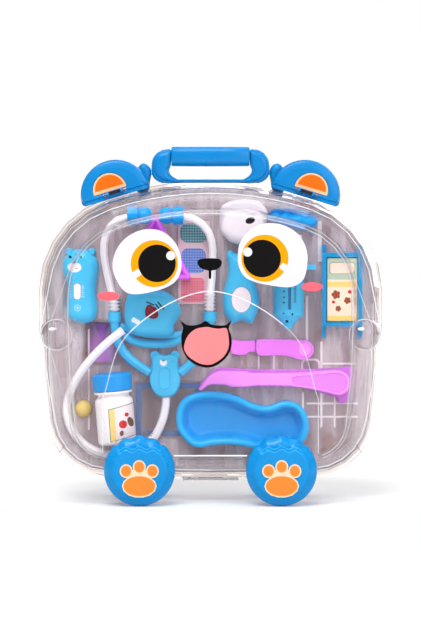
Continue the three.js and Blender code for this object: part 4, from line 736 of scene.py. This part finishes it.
def lathe(name, profile, slot, body, matrix, count=72, **place):
    """A turned piece: profile points are (radius, height) along the matrix's Z axis."""
    corners = []
    for radius, height in profile:
        for i in range(count):
            a = 2 * math.pi * i / count
            corners.append((radius * math.cos(a), radius * math.sin(a), height))
    return put(name, corners, tube(len(profile), count), slot, body, matrix=matrix, **place)


def thread(name, route, radius, slot, body, sides=8, **place):
    """A thin round line along a route of (x, y, z) places."""
    points = [Vector(p) for p in route]
    corners = []
    for i, point in enumerate(points):
        run = (points[min(i + 1, len(points) - 1)] - points[max(i - 1, 0)]).normalized()
        side = run.cross(Vector((0, 1, 0))).normalized()
        out = side.cross(run)
        for k in range(sides):
            a = 2 * math.pi * k / sides
            corners.append(tuple(point + (side * math.cos(a) + out * math.sin(a)) * radius))
    return put(name, corners, tube(len(points), sides), slot, body, **place)


def through(points, per=10):
    """A smooth open curve through places of any dimension, even where they lie far apart."""
    p = [np.array(q, float) for q in points]
    p = [2 * p[0] - p[1], *p, 2 * p[-1] - p[-2]]
    curve = []
    for a, b, c, d in zip(p, p[1:], p[2:], p[3:]):
        t0 = 0.0
        t1 = t0 + np.linalg.norm(b - a) ** 0.5
        t2 = t1 + np.linalg.norm(c - b) ** 0.5
        t3 = t2 + np.linalg.norm(d - c) ** 0.5
        for k in range(per):
            t = t1 + (t2 - t1) * k / per
            ab = ((t1 - t) * a + (t - t0) * b) / (t1 - t0)
            bc = ((t2 - t) * b + (t - t1) * c) / (t2 - t1)
            cd = ((t3 - t) * c + (t - t2) * d) / (t3 - t2)
            abc = ((t2 - t) * ab + (t - t0) * bc) / (t2 - t0)
            bcd = ((t3 - t) * bc + (t - t1) * cd) / (t3 - t1)
            curve.append(((t2 - t) * abc + (t - t1) * bcd) / (t2 - t1))
    return curve + [p[-2]]


def eased(points, radius, count=6):
    """A polygon with rounded corners."""
    out = []
    for i, corner in enumerate(points):
        corner = np.array(corner, float)
        ends = []
        for other in (points[i - 1], points[(i + 1) % len(points)]):
            run = np.array(other, float) - corner
            ends.append(corner + run / np.linalg.norm(run) * radius)
        for k in range(count + 1):
            t = k / count
            out.append((1 - t) ** 2 * ends[0] + 2 * t * (1 - t) * corner + t**2 * ends[1])
    dense = []
    for a, b in zip(out, out[1:] + out[:1]):
        pieces = max(1, int(np.linalg.norm(b - a) / 1.2))
        dense += [a + (b - a) * k / pieces for k in range(pieces)]
    return anticlockwise(np.array(dense))


def card(left, low, right, high, radius, count=6):
    return eased([(left, low), (right, low), (right, high), (left, high)], radius, count)


# ---------------------------------------------------------------- the printed face
PRINT_BACK = -45.45


def film(name, outline, slot, nodes, back=PRINT_BACK, thickness=0.36):
    relief(name, outline, back, thickness, 0.3, slot, "lid", low=0.2, grid=3.0, nodes=nodes)


def printed_face():
    """Eyes, cheeks, nose, mouth and tongue, laid on the lid as thin films."""
    left = [(-76, 186.5), (-74.2, 196.9), (-68.8, 206.1), (-59.9, 212.9), (-49.6, 215.9), (-38.4, 214.6),
        (-30, 208.6), (-24.6, 200.2), (-22.5, 190.3), (-23.5, 181.8), (-28.1, 174.7), (-36.6, 170), (-48.7, 166.7),
        (-59.9, 165.6), (-67, 168.2), (-72.6, 176)]
    right = [(21.2, 194), (22.5, 204.4), (28.1, 212.9), (35.6, 218.5), (44, 220.6), (55.2, 219.5), (65.4, 214.3),
        (72, 206.3), (75.1, 196.9), (74.8, 186.5), (72.5, 178), (68, 173.4), (60.8, 171), (47.7, 172.2),
        (35.6, 174.7), (26.6, 179), (22.2, 186.5)]
    film("eye_left", loop(left), "eye_print", ["eye_print_left"])
    film("eye_right", loop(right), "eye_print", ["eye_print_right"])
    film("cheek_left", oval(-79.2, 164.0, 8.7, 3.5), "cheek_print", ["cheek_print_left"])
    film("cheek_right", oval(78.8, 171.3, 8.4, 3.5), "cheek_print", ["cheek_print_right"])
    nose = seen((197.7, 261.5), (199.5, 258.6), (205, 257.6), (210, 257.4), (215, 257.6), (220, 258.6),
        (221.8, 261.5), (220.4, 265.8), (216, 268.8), (212, 269.7), (211.4, 271), (211.2, 277), (209.9, 278),
        (208.7, 277), (208.6, 271), (208, 269.7), (203.5, 268.6), (199.3, 265.8))
    film("nose", loop(nose), "black_print", ["nose_print"])
    mouth = seen((180.9, 320.2), (183.2, 326.8), (181.7, 333), (181.4, 340.1), (182.8, 348.6), (187.4, 357.2),
        (194.6, 363), (203.2, 366.1), (210, 366.2), (216.6, 364), (224.2, 358.4), (229.6, 351), (231.6, 342.5),
        (231, 334.1), (228.8, 327.2), (231, 319.8), (225.5, 323.9), (217.8, 324.4), (210.4, 323), (205.6, 319.9),
        (199.6, 323), (192.4, 324.4), (186.2, 323.4))
    tongue = seen((184.2, 346.8), (185.8, 338.9), (190, 332.3), (196, 327.9), (203.2, 326.2), (208.5, 326),
        (213, 327), (218.5, 327.6), (223.5, 327), (226.6, 327.6), (228.3, 334.1), (228.9, 342.5), (227.2, 349.8),
        (222.4, 356.6), (214.4, 362), (208.2, 363.6), (199.6, 362.2), (190.4, 356.8), (186.2, 352))
    film("mouth", loop(mouth), "black_print", ["mouth_print"], thickness=0.2)
    film("tongue", loop(tongue), "mouth_print", [], back=PRINT_BACK - 0.12, thickness=0.3)


# ---------------------------------------------------------------- wheels, ears and lines of the lid
BELLY_FRONT, BELLY_SIDE, BELLY_FOOT = -46.05, 83.75, 42
line = partial(thread, slot="clear_plastic", body="lid")


def wheel_outline(dent, radius):
    turn = 2 * np.pi * np.arange(132) / 132
    from_top = (turn - np.pi / 2 + np.pi) % (2 * np.pi) - np.pi
    half = 3 * math.radians(14)
    valley = np.where(np.abs(from_top) <= half, (1 + np.cos(3 * np.pi * (from_top + half) / half)) / 2, 0)
    reach = radius - dent * valley
    return np.stack([WHEEL_X + reach * np.cos(turn), WHEEL_RADIUS + reach * np.sin(turn)], 1)


def wheel_face(radius, top):
    """The raised face of a paw, with a wave of three toes along its top."""
    start = math.asin(top / radius)
    arc = [math.pi - start + (math.pi + 2 * start) * i / 60 for i in range(61)]
    points = [(radius * math.cos(a), radius * math.sin(a)) for a in arc]
    reach = points[-1][0]
    for i in range(1, 48):
        share = i / 48
        lift = 1.1 * (1 - math.cos(6 * math.pi * share)) + 1.6 * math.sin(math.pi * share)
        points.append((reach - 2 * reach * share, top + lift))
    return anticlockwise(np.array(points) + (WHEEL_X, WHEEL_RADIUS))


def wheels():
    """The faces of the four wheels, the rear ones turned round from the front ones."""
    for side, along in (("front", -1), ("rear", 1)):
        for across, hand in ((-1, "left"), (1, "right")):
            shift = Matrix.Translation((0 if across * along < 0 else -2 * WHEEL_X, 0, 0))
            place = (Matrix.Identity(4) if along < 0 else Matrix.Rotation(math.pi, 4, "Z")) @ shift
            name = f"wheel_{side}_{hand}"
            marks = [(wheel_face(23.4, 16.6), 0.9, 0.5), (wheel_face(21.6, 14.0), 0.6, 0.5)]
            relief(f"paw_{name}", wheel_outline(1.5, WHEEL_RADIUS), WHEEL_BACK, 8.9, 8.6, "blue_plastic", name,
                low=3.0, grid=1.5, marks=marks, nodes=[name], matrix=place, material=FINISH_OF["wheel_front_left"])


def ears():
    """The ear latches, each sunk for its inlay, with a dark slot on its front, whose black film is painted shade."""
    arc = [math.radians(8) + math.radians(164) * i / 48 for i in range(49)]
    disc = [(27.6 * math.cos(a), 27.6 * math.sin(a)) for a in arc]
    left, right = [(-27.6, 1.5), (-27.3, -0.6), (-25.4, -1.9)], [(25.4, -1.9), (27.3, -0.6), (27.6, 1.5)]
    base = [(x, -1.9) for x in (-20, -12, -6, 0, 6, 12, 20)]
    swell = anticlockwise(np.array(disc + [(-27.6, -20.0), (27.6, -20.0)]))
    disc = anticlockwise(np.array(disc + left + base + right))
    for across, hand in ((-1, "left"), (1, "right")):
        inlay = [(across * 3.2 + 14 * math.cos(math.pi * i / 30),
            5.0 + 14 * math.sin(math.pi * i / 30)) for i in range(31)]
        inlay = anticlockwise(np.array(inlay + [(across * 3.2 - 14, 3.8), (across * 3.2 + 14, 3.8)]))
        bar = card(-40, -12.0, 40, 1.6, 0.5)
        place = Matrix.Translation((across * EAR_X, 0, EAR_Z)) @ Matrix.Rotation(across * math.asin(EAR_SIN), 4, "Y")
        relief(f"ear_{hand}", disc, 2.9, 9.5, 7.5, "blue_plastic", f"ear_{hand}", low=4.6, grid=1.4, swell=swell,
            marks=[(inlay, -1.9, 0.7), (bar, -1, 0.7)], matrix=place)
        # Painted shade: a black film standing for the dark inside of the slot.
        slot = card(-4.8, 1.0, 4.8, 3.9, 0.4)
        relief(f"ear_slot_{hand}", slot, -11.2, 0.55, 0.2, "blue_plastic", f"ear_{hand}", material=SLOT_SHADE,
            grid=2.0, matrix=place)


def handle_ends():
    """The rounded elbows of the handle, and the mounts that its pins turn in."""
    elbow = loop([(-30.9, 276.6), (-37.5, 276.3), (-42.2, 274.3), (-45.3, 270.3), (-46.4, 265.6), (-46.2, 260),
        (-43.6, 255), (-38.4, 251.4), (-33.8, 250.5), (-25.5, 250.5), (-22.5, 251.2), (-22.5, 252.9), (-26, 253.8),
        (-30.4, 256.4), (-32.6, 260.4), (-31.4, 264), (-30.9, 270)])
    lug = loop([(-57.6, 243.4), (-58.2, 250), (-58, 257), (-57, 263), (-54, 266), (-50.4, 265.6), (-47.4, 262.4),
        (-46.7, 257.6), (-47.6, 251.6), (-48.6, 245), (-52.6, 242.6)])
    for across, hand in ((1, "left"), (-1, "right")):
        mirror = np.array([across, 1.0])
        relief(f"handle_elbow_{hand}", anticlockwise(elbow * mirror), 13, 6.6, 4.6, "blue_plastic", "handle", low=1.6,
            material=FINISH_OF["handle_frame"])
        relief(f"handle_mount_{hand}", anticlockwise(lug * mirror), 18.9, 12.6, 4, "blue_plastic", "case", low=8.0,
            nodes=[f"handle_lug_{hand}"])


def ring_at(depth):
    """The outermost corners of the front shell at a depth, as a closed ring."""
    places = [corner.co / MM for corner in NODES["front_shell"].data.vertices]
    level = [Vector((p.x, p.z)) for p in places if abs(p.y + depth) < 0.12]
    return [(level[i].x, level[i].y) for i in convex_hull_2d(level)]


def closed_line(name, ring, y, radius, material):
    """A line around the lid, left out where a wheel covers it."""
    route = [(x, y, z) for x, z in ring]
    hidden = [math.hypot(abs(x) - WHEEL_X, z - WHEEL_RADIUS) < WHEEL_RADIUS + 1.5 and y < -38 for x, _, z in route]
    if not any(hidden):
        line(name, route + route[:2], radius, material=material)
        return
    start = hidden.index(True)
    runs, run = [], []
    for point, skip in zip(route[start:] + route[:start], hidden[start:] + hidden[:start]):
        if skip:
            runs.append(run)
            run = []
        else:
            run.append(point)
    for i, run in enumerate([r for r in runs + [run] if len(r) > 1]):
        line(f"{name}_{i}", run, radius, material=material)


def lid_lines():
    """The lines that the light draws on the ridges of the lid: its steps, the hands, the belly's arch
    and the ledge under it."""
    closed_line("panel_line", ring_at(45.05), -45.1, 0.26, FAINT_LINE)
    closed_line("rise_line", ring_at(42.05), -42.2, 0.2, FAINT_LINE)
    closed_line("shoulder_line", ring_at(32.05), -32.2, 0.36, LINE)
    closed_line("step_line", ring_at(22.55), -22.7, 0.2, SHADE_LINE)
    flange = anticlockwise(np.array(ring_at(3.05)))
    closed_line("flange_line", [tuple(p) for p in shifted(flange, 0.35)], -3.1, 0.22, SHADE_LINE)
    for across, hand in ((-1, "left"), (1, "right")):
        closed_line(f"palm_line_{hand}", oval(across * 120.0, 133.6, 12.0, 12.0), -38.2, 0.32, FAINT_LINE)
        # A painted highlight spot on each hand's dome.
        relief(f"palm_highlight_{hand}", oval(across * 120.0 - 3, 138.4, 2.6, 1.3, 20), -43.4, 0.9, 0.8, "clear_plastic",
            "lid", material=LINE, grid=0.9)
        seam = [(across * 118, -33.4, 41.4), (across * 113.4, -35.9, 47.6)]
        line(f"seam_line_{hand}", seam, 0.4, material=SHADE_LINE)
    arch = through([(-BELLY_SIDE, 84.0), (-65.35, 133.0), (0.0, 167.85), (65.35, 133.0), (BELLY_SIDE, 84.0)], 16)
    arch = [(float(x), BELLY_FRONT, float(z)) for x, z in arch]
    line("arch_line", arch[17:46], 0.42, material=LINE)
    line("arch_line_left", [(-BELLY_SIDE, BELLY_FRONT, BELLY_FOOT)] + arch[:18], 0.34, material=FAINT_LINE)
    line("arch_line_right", arch[45:] + [(BELLY_SIDE, BELLY_FRONT, BELLY_FOOT)], 0.3, material=FAINT_LINE)
    line("ledge_line", [(x, -46.2, 39.9) for x in (-28.5, 0, 28.5)], 0.62, material=LINE)


# ---------------------------------------------------------------- toys
SEAT = 1.7
skin = partial(relief, slot="light_blue_plastic", body="case")
purple = partial(relief, slot="purple_plastic", body="case")
white = partial(relief, slot="white_plastic", body="case")
blue = partial(relief, slot="blue_plastic", body="case")


def soft_toys():
    """Thermometer, otoscope, chest piece and the bear on the yoke: swollen bodies of light blue."""
    thermometer = loop([(-112, 195.4), (-107, 198.4), (-102, 198.8), (-97, 198.3), (-92.4, 194.8), (-88.9, 190.3),
        (-87.9, 184), (-88.6, 177.2), (-89.8, 169.6), (-89.4, 160.1), (-88.9, 150.7), (-90.9, 144.2), (-95.4, 141.3),
        (-102, 140.8), (-108.5, 142.7), (-112.7, 147), (-113.6, 154.5), (-112.7, 163.9), (-112.2, 171.4),
        (-115.4, 179), (-116.4, 186.5), (-114.8, 192.2)])
    window = card(-107.4, 159.8, -101.8, 172.6, 2.6)
    skin("thermometer_body", thermometer, SEAT, 13, 7.5, low=4.0, marks=[(window, -0.6, 0.4)], nodes=["thermometer"],
        material=thermometer_paint())
    for x, z in ((-111.0, 196.8), (-93.4, 196.8)):
        skin(f"thermometer_ear_{'left' if x < -102 else 'right'}", oval(x, z, 3.1, 3.1), SEAT, 9, 2.6, grid=0.9,
            marks=[(oval(x, z, 1.8, 1.8), -0.9, 0.7)])
    otoscope = [(12.6, 193.4), (13.4, 196.8), (16.4, 197.8), (19, 196), (23, 195.6), (26.6, 197.4), (29, 195),
        (28.5, 185.6), (31, 178), (35.4, 171.4), (37.9, 163.9), (38.4, 156.4), (37.2, 149.8), (34.6, 144),
        (33, 140.4), (29.6, 141), (24.3, 142.6), (19.4, 141), (16, 140.4), (14.2, 143.6), (10.9, 148.4), (9.7, 154.5),
        (9.9, 163), (11.7, 171.4), (13.9, 179.9), (13.6, 189.3)]
    skin("otoscope_body", loop(otoscope), SEAT, 13, 7.5, low=4.0, marks=[(oval(24.2, 159.7, 8.1, 10.4), -0.4, 0.5)],
        nodes=["otoscope"], material=otoscope_paint())
    chest = [(-63.4, 165.8), (-66.6, 158), (-67.6, 149.7), (-67, 141.4), (-64.6, 136.2), (-59.9, 132.4),
        (-52.4, 130.6), (-45.9, 131.2), (-38.4, 130.4), (-31.9, 130.8), (-28.9, 134), (-28.6, 139.4), (-26.2, 143.4),
        (-23.7, 148.6), (-23.7, 153.5), (-26.8, 158.7), (-31.4, 163.6), (-38, 166.6), (-50, 167), (-58, 167)]
    skin("chest_body", loop(chest), -6.3, 11, 7, low=3.2, nodes=["chest_piece"], material=chest_paint())
    heart = [(-51, 152.6), (-49.8, 155.3), (-47.3, 156.1), (-44.9, 154.8), (-42.6, 153.4), (-41, 150.4), (-40.9, 147),
        (-43.1, 145), (-46.8, 145.3), (-50.4, 146.6), (-51.3, 149.6)]
    skin("chest_heart", loop(heart), -17.1, 0.5, 0.4, grid=2.0, material=moulded("heart_red", srgb(128, 14, 44), 0.3))
    bear = [(-40.2, 116.2), (-36, 115.2), (-31.6, 116.2), (-26.6, 113.4), (-24.8, 107), (-23.5, 99.6), (-23.9, 91.6),
        (-27, 85.4), (-32, 82.3), (-39.2, 82.3), (-44.6, 85.6), (-47.5, 91.4), (-48.1, 99.4), (-47, 107),
        (-45.2, 113.4)]
    skin("yoke_bear", loop(bear), SEAT, 9.9, 6, low=4.2, grid=1.1,
        marks=[(card(-41.4, 88.8, -30.8, 107, 5.2, 9), 0.5, 0.5),
        (card(-40.6, 89.6, -31.6, 106.2, 4.4, 9), -0.8, 0.5)], material=BEAR_SKIN)
    arc = through([(-67.6, -2.4, 131.6), (-61.6, -2.4, 127.4), (-52, -2.4, 124.8), (-40, -2.4, 124.2),
        (-30, -2.4, 125.6), (-22.6, -2.4, 128.6)], 6)
    thread("yoke_arc", arc, 3.3, "light_blue_plastic", "case", sides=20)
    for x in (-43.6, -28.0):
        skin(f"yoke_ear_{'left' if x < -36 else 'right'}", oval(x, 115.5, 3.5, 3.4), SEAT, 7.4, 2.4, grid=0.8,
            marks=[(oval(x, 115.3, 2.2, 2.1), -0.9, 0.8)])


def purple_toys():
    """Scalpel, forceps and the reflex hammer: bright borders around sunken faces."""
    bright = moulded("bright_purple", srgb(248, 150, 255))
    face = moulded("face_purple", srgb(234, 126, 244))
    handle = loop([(36, 125.7), (38.4, 128), (57, 128.2), (72.9, 127.3), (78.5, 125.7), (81.3, 121.5), (80.9, 116.8),
        (77.6, 113.2), (72.9, 111.8), (68.2, 112.4), (61.7, 114.3), (52.4, 115.3), (41.2, 114.9), (37, 116.3),
        (35.6, 120.5)])
    purple("scalpel_grip", handle, SEAT, 7, 1.2, nodes=["scalpel_handle"], material=bright,
        marks=[(shifted(handle, 1.3), -0.9, 0.4)])
    purple("scalpel_inset", shifted(handle, 1.7), SEAT - 6.0, 0.5, 0.3, material=face, grid=2.0)
    ring = oval(74.3, 120.0, 5.0, 5.0)
    purple("scalpel_button", ring, SEAT - 6.2, 0.8, 0.4, material=bright, grid=1.2,
        marks=[(shifted(ring, 0.7), -0.25, 0.4)])
    blade = loop([(16.2, 126.8), (23, 126.9), (30, 126.8), (35.2, 126.4), (35.2, 118.2), (30.8, 118.1), (28.5, 115.9),
        (23.4, 115.2), (18.7, 116), (16.2, 117.2)])
    purple("scalpel_tip", blade, SEAT, 3.4, 0.8, nodes=["scalpel_blade"], material=face)
    forceps = loop([(-9.6, 88.6), (-8, 91), (-2.7, 97.9), (2.9, 102), (10.3, 103.4), (28.6, 102.7), (33.2, 101.7),
        (64.5, 101.9), (94.4, 103.6), (101.9, 103.4), (107.5, 100.8), (109.8, 94.9), (108.4, 88), (103.7, 84.4),
        (99.1, 84), (89.7, 86.4), (75.7, 89.2), (64.5, 90.4), (33.2, 90.8), (28.4, 90.3), (15.9, 90.5), (12.6, 91.8),
        (1, 92.2), (-3.7, 90.2), (-7.2, 87.6)])
    recess = loop([(66, 98.6), (80, 100), (94.4, 101.6), (101.5, 101.4), (105.6, 99.2), (107.4, 94.8), (106, 89.2),
        (102.6, 86.2), (99.1, 86), (90, 88.2), (76, 91.2), (66, 92.8), (64.4, 95.6)])
    purple("forceps_front", forceps, SEAT - 2.6, 6, 1, nodes=["forceps"], material=bright,
        marks=[(recess, -0.9, 0.4)])
    purple("forceps_inset", shifted(recess, 0.4), SEAT - 7.6, 0.4, 0.2, grid=2.5,
        material=moulded("recess_purple", srgb(226, 134, 240)))
    back = loop([(-8.6, 90), (-2, 99.6), (4, 104.6), (12, 105.6), (40, 104.2), (96, 105), (106, 106.4),
        (110.2, 106.3), (111.6, 103), (110.8, 95), (109.8, 87), (109, 81.6), (106.8, 78.2), (103.2, 77.2), (99.8, 79),
        (97, 82.4), (60, 91.6), (10, 92.6)])
    purple("forceps_back", back, SEAT, 2.5, 0.8, grid=3.0, material=moulded("shaded_purple", srgb(204, 112, 224)))
    triangle = [(-43.3, 228.4), (-14.0, 174.9), (-72.6, 174.9)]
    head = eased(triangle, 5.0, 7)
    vivid = moulded("vivid_purple", srgb(234, 112, 252))
    purple("hammer_head", head, 0.8, 5, 1.2, nodes=["reflex_hammer"], material=vivid,
        marks=[(shifted(head, 3), -1.8, 0.6)])
    purple("hammer_inset", shifted(head, 4.1), -2.3, 0.4, 0.2, grid=4.0,
        material=moulded("deep_purple", srgb(172, 62, 200)))
    purple("hammer_handle", card(-47.2, 152.2, -39.4, 176.4, 1.0), 0.7, 4.6, 1.4, grid=3.0)


def other_toys():
    """The mirror, the kidney dish and the bottle with its cap."""
    head = loop([(6.8, 216.6), (7.1, 224.2), (7.5, 229.4), (11.3, 234.5), (19.7, 237.6), (29, 237.9), (38.6, 236.2),
        (44, 230.4), (44.4, 222.3), (42.6, 214.8), (37, 206.6), (29, 202.6), (21.5, 202.8), (15, 205), (10.3, 209.1),
        (7.8, 211.9)])
    muzzle = loop([(6.9, 216.6), (8, 223), (12.5, 228.4), (20, 231.2), (30, 231.2), (38, 229), (43.6, 223.6),
        (42.4, 214.8), (37, 206.8), (29, 202.8), (21.5, 203), (15, 205.2), (10.3, 209.3), (7.9, 212.2)])
    white("mirror_face", head, SEAT, 12.4, 7, low=3.5, nodes=["mirror_head"], marks=[(muzzle, 2.4, 2.2)],
        material=head_paint())
    cap = loop([(7.1, 227.9), (8.5, 232.7), (13.1, 236), (19.7, 237.6), (26.2, 237.9), (33.7, 237), (40.2, 234.5),
        (44.2, 230.3), (44.2, 226.3), (36.5, 227.8), (26.2, 228.7), (15.9, 227.9), (10.3, 226.4)])
    white("mirror_cap", cap, SEAT, 13.4, 2.6, low=8.0, material=moulded("cap_grey", srgb(222, 218, 230), 0.2, 0.3))
    grip = loop([(44.6, 222.4), (47.7, 226.4), (51.9, 227.6), (55.2, 226), (59.2, 227.4), (64.5, 226), (71, 227.4),
        (75.5, 225.8), (79.5, 225.8), (83.7, 223.2), (84.2, 219.5), (81.3, 216.2), (74.6, 214.2), (68.2, 214.8),
        (61.7, 217.1), (52.4, 220.2)])
    blue("mirror_handle", grip, SEAT, 11, 4.4, low=3.0, nodes=["mirror_grip"], material=FINISH_OF["mirror_grip"])
    clip = loop([(46.4, 224.4), (48, 229.4), (55, 231), (66, 230.6), (76, 228.2), (79, 224.6), (62, 222.4)])
    blue("mirror_clip", clip, SEAT, 3.0, 1.0, grid=3.0, material=DEEP)
    dish = loop([(-27, 63.6), (-26, 73.6), (-21.2, 81.4), (-13, 85.6), (-3, 87.2), (9, 86.6), (21.5, 83.4),
        (30.9, 78.9), (39.6, 76), (47.4, 76.2), (54.6, 79), (61.7, 79.6), (69.2, 77), (74.8, 70.8), (77.4, 62.1),
        (76.6, 53.6), (72.6, 46.2), (64.4, 40.6), (54, 38.8), (42, 40.2), (30, 43.2), (19.7, 44.9), (10.3, 45.4),
        (1, 44.6), (-8.2, 42.9), (-15.4, 44.8), (-21.2, 50), (-25.6, 56.5)])
    blue("dish_bowl", dish, SEAT, 13, 2.4, low=10.4, nodes=["kidney_dish"], marks=[(shifted(dish, 3.2), -11.2, 7.5)],
        material=dish_paint())
    stand = Matrix.Translation((-74.6, -13.9, 66.0)) @ Matrix.Rotation(math.radians(-5), 4, "Y")
    body = [(12.6, -19.5), (14.1, -19), (14.8, -17.9), (15, -16.6), (15, 12.6), (14.8, 14.6), (14.1, 16.2),
        (13, 17.3), (12.3, 18), (12.2, 20.4), (14.7, 20.5), (15.1, 20.9), (15.1, 22), (14.7, 22.4), (12, 22.5)]
    lathe("bottle_body", body, "white_plastic", "case", stand, nodes=["bottle"], material=bottle_paint(), bend=40)
    cap = [(15.2, 22.8), (15.6, 23.2), (15.6, 33.4), (15.4, 34.6), (14.8, 35.5), (13.8, 36), (12.6, 36.1), (12, 35.5),
        (2, 35.5)]
    lathe("bottle_lid", cap, "blue_plastic", "cap", stand, nodes=["bottle_cap"], material=FINISH_OF["bottle_cap"],
        bend=40)


printed_face()
wheels()
ears()
handle_ends()
lid_lines()
soft_toys()
purple_toys()
other_toys()


# ---------------------------------------------------------------- floor, light and camera
FLOOR_HALF, GLOW_NEAR, GLOW_FAR = 4.0, 0.17, 0.75
WELL_FORE, WELL_END, WELL_SIDE = 54, 350, 160
AMBIENT = 0.4
TARGET = (0, 0, 0.13)


def backdrop():
    """A wide plain floor, white to the eye away from the object, with the object's shadow on it.
    In front, where the open lid swings below the wheels, it is as clear as glass."""
    corners = [(x, y, 0.0) for y in (-FLOOR_HALF, FLOOR_HALF) for x in (-FLOOR_HALF, FLOOR_HALF)]
    mesh = bpy.data.meshes.new("floor")
    mesh.from_pydata(corners, [], [(0, 1, 3, 2)])
    floor = bpy.data.objects.new("floor", mesh)
    bpy.context.scene.collection.objects.link(floor)
    g = Graph("floor")
    body = g.principled(Base_Color=(0.8, 0.8, 0.8, 1.0), Roughness=0.9, Specular_IOR_Level=0.1)
    strength = g.span(g.vector("LENGTH", g.place), GLOW_NEAR, GLOW_FAR, 0.06, 0.85)
    glow = g.add("ShaderNodeEmission", {"Color": (1.0, 1.0, 1.0, 1.0), "Strength": strength})
    both = g.add("ShaderNodeAddShader", {0: body.outputs[0], 1: glow.outputs[0]})
    ray = g.add("ShaderNodeLightPath")
    seen_ray = g.either(*(ray.outputs[f"Is {kind} Ray"] for kind in ("Camera", "Glossy", "Transmission")))
    fore, across = g.along((0, -1, 0)), g.math("ABSOLUTE", g.along((1, 0, 0)))
    well = g.both(
        g.span(fore, WELL_FORE, WELL_FORE + 10),
        g.span(fore, WELL_END, WELL_END + 40, 1.0, 0.0),
        g.span(across, WELL_SIDE, WELL_SIDE + 40, 1.0, 0.0),
    )
    open_ray = g.either(seen_ray, ray.outputs["Is Shadow Ray"])
    lit = g.mixed(seen_ray, body, both)
    clear = g.clear((1.0, 1.0, 1.0, 1.0))
    floor.data.materials.append(g.finish(g.mixed(g.both(open_ray, well), lit, clear)))


def lamp(name, place, aim, size, power):
    """A soft box at a place in metres, turned to what it lights."""
    data = bpy.data.lights.new(name, "AREA")
    data.shape = "RECTANGLE"
    data.size, data.size_y = size
    data.energy = power
    item = bpy.data.objects.new(name, data)
    item.location = place
    item.rotation_euler = (Vector(aim) - Vector(place)).to_track_quat("-Z", "Y").to_euler()
    bpy.context.scene.collection.objects.link(item)


def world():
    """A dim white room for the light, and a white one for the eye."""
    made = bpy.data.worlds.new("studio")
    made.use_nodes = True
    bpy.context.scene.world = made
    n = Nodes(made.node_tree)
    back = n.tree.nodes["Background"]
    n.feed(back.inputs["Color"], (1.0, 1.0, 1.0, 1.0))
    ray = n.add("ShaderNodeLightPath")
    seen_ray = n.math("MAXIMUM", ray.outputs["Is Camera Ray"], ray.outputs["Is Transmission Ray"])
    n.feed(back.inputs["Strength"], n.span(seen_ray, 0.0, 1.0, AMBIENT, 1.0))


FRAME_HEIGHT, SENSOR = 631, 36.0
DISTANCE, ELEVATION = 3.0, math.radians(3.0)


def camera():
    """A long view from the front, a little above, framed as in the photograph."""
    data = bpy.data.cameras.new("camera")
    data.sensor_fit = "VERTICAL"
    data.sensor_width = data.sensor_height = SENSOR
    pixel = PIXEL_MM * MM
    middle = Vector((0.0, -0.03, (FOOT_ROW - FRAME_HEIGHT / 2) * pixel))
    back = Vector((0.0, -math.cos(ELEVATION), math.sin(ELEVATION)))
    data.lens = SENSOR * DISTANCE / (FRAME_HEIGHT * pixel)
    item = bpy.data.objects.new("camera", data)
    item.location = middle + back * DISTANCE
    item.rotation_euler = (-back).to_track_quat("-Z", "Y").to_euler()
    bpy.context.scene.collection.objects.link(item)
    bpy.context.scene.camera = item


backdrop()
world()
lamp("key", (-0.3, -1.2, 1.5), TARGET, (0.9, 0.9), 27)
lamp("fill", (1.0, -1.4, 0.7), TARGET, (1.2, 1.0), 11)
lamp("top", (0.0, 0.1, 1.5), (0, 0, 0.1), (1.2, 0.8), 9)
lamp("rear", (0.5, 1.9, 0.6), TARGET, (1.2, 1.0), 10)
camera()

bpy.context.scene.view_settings.view_transform = "Standard"
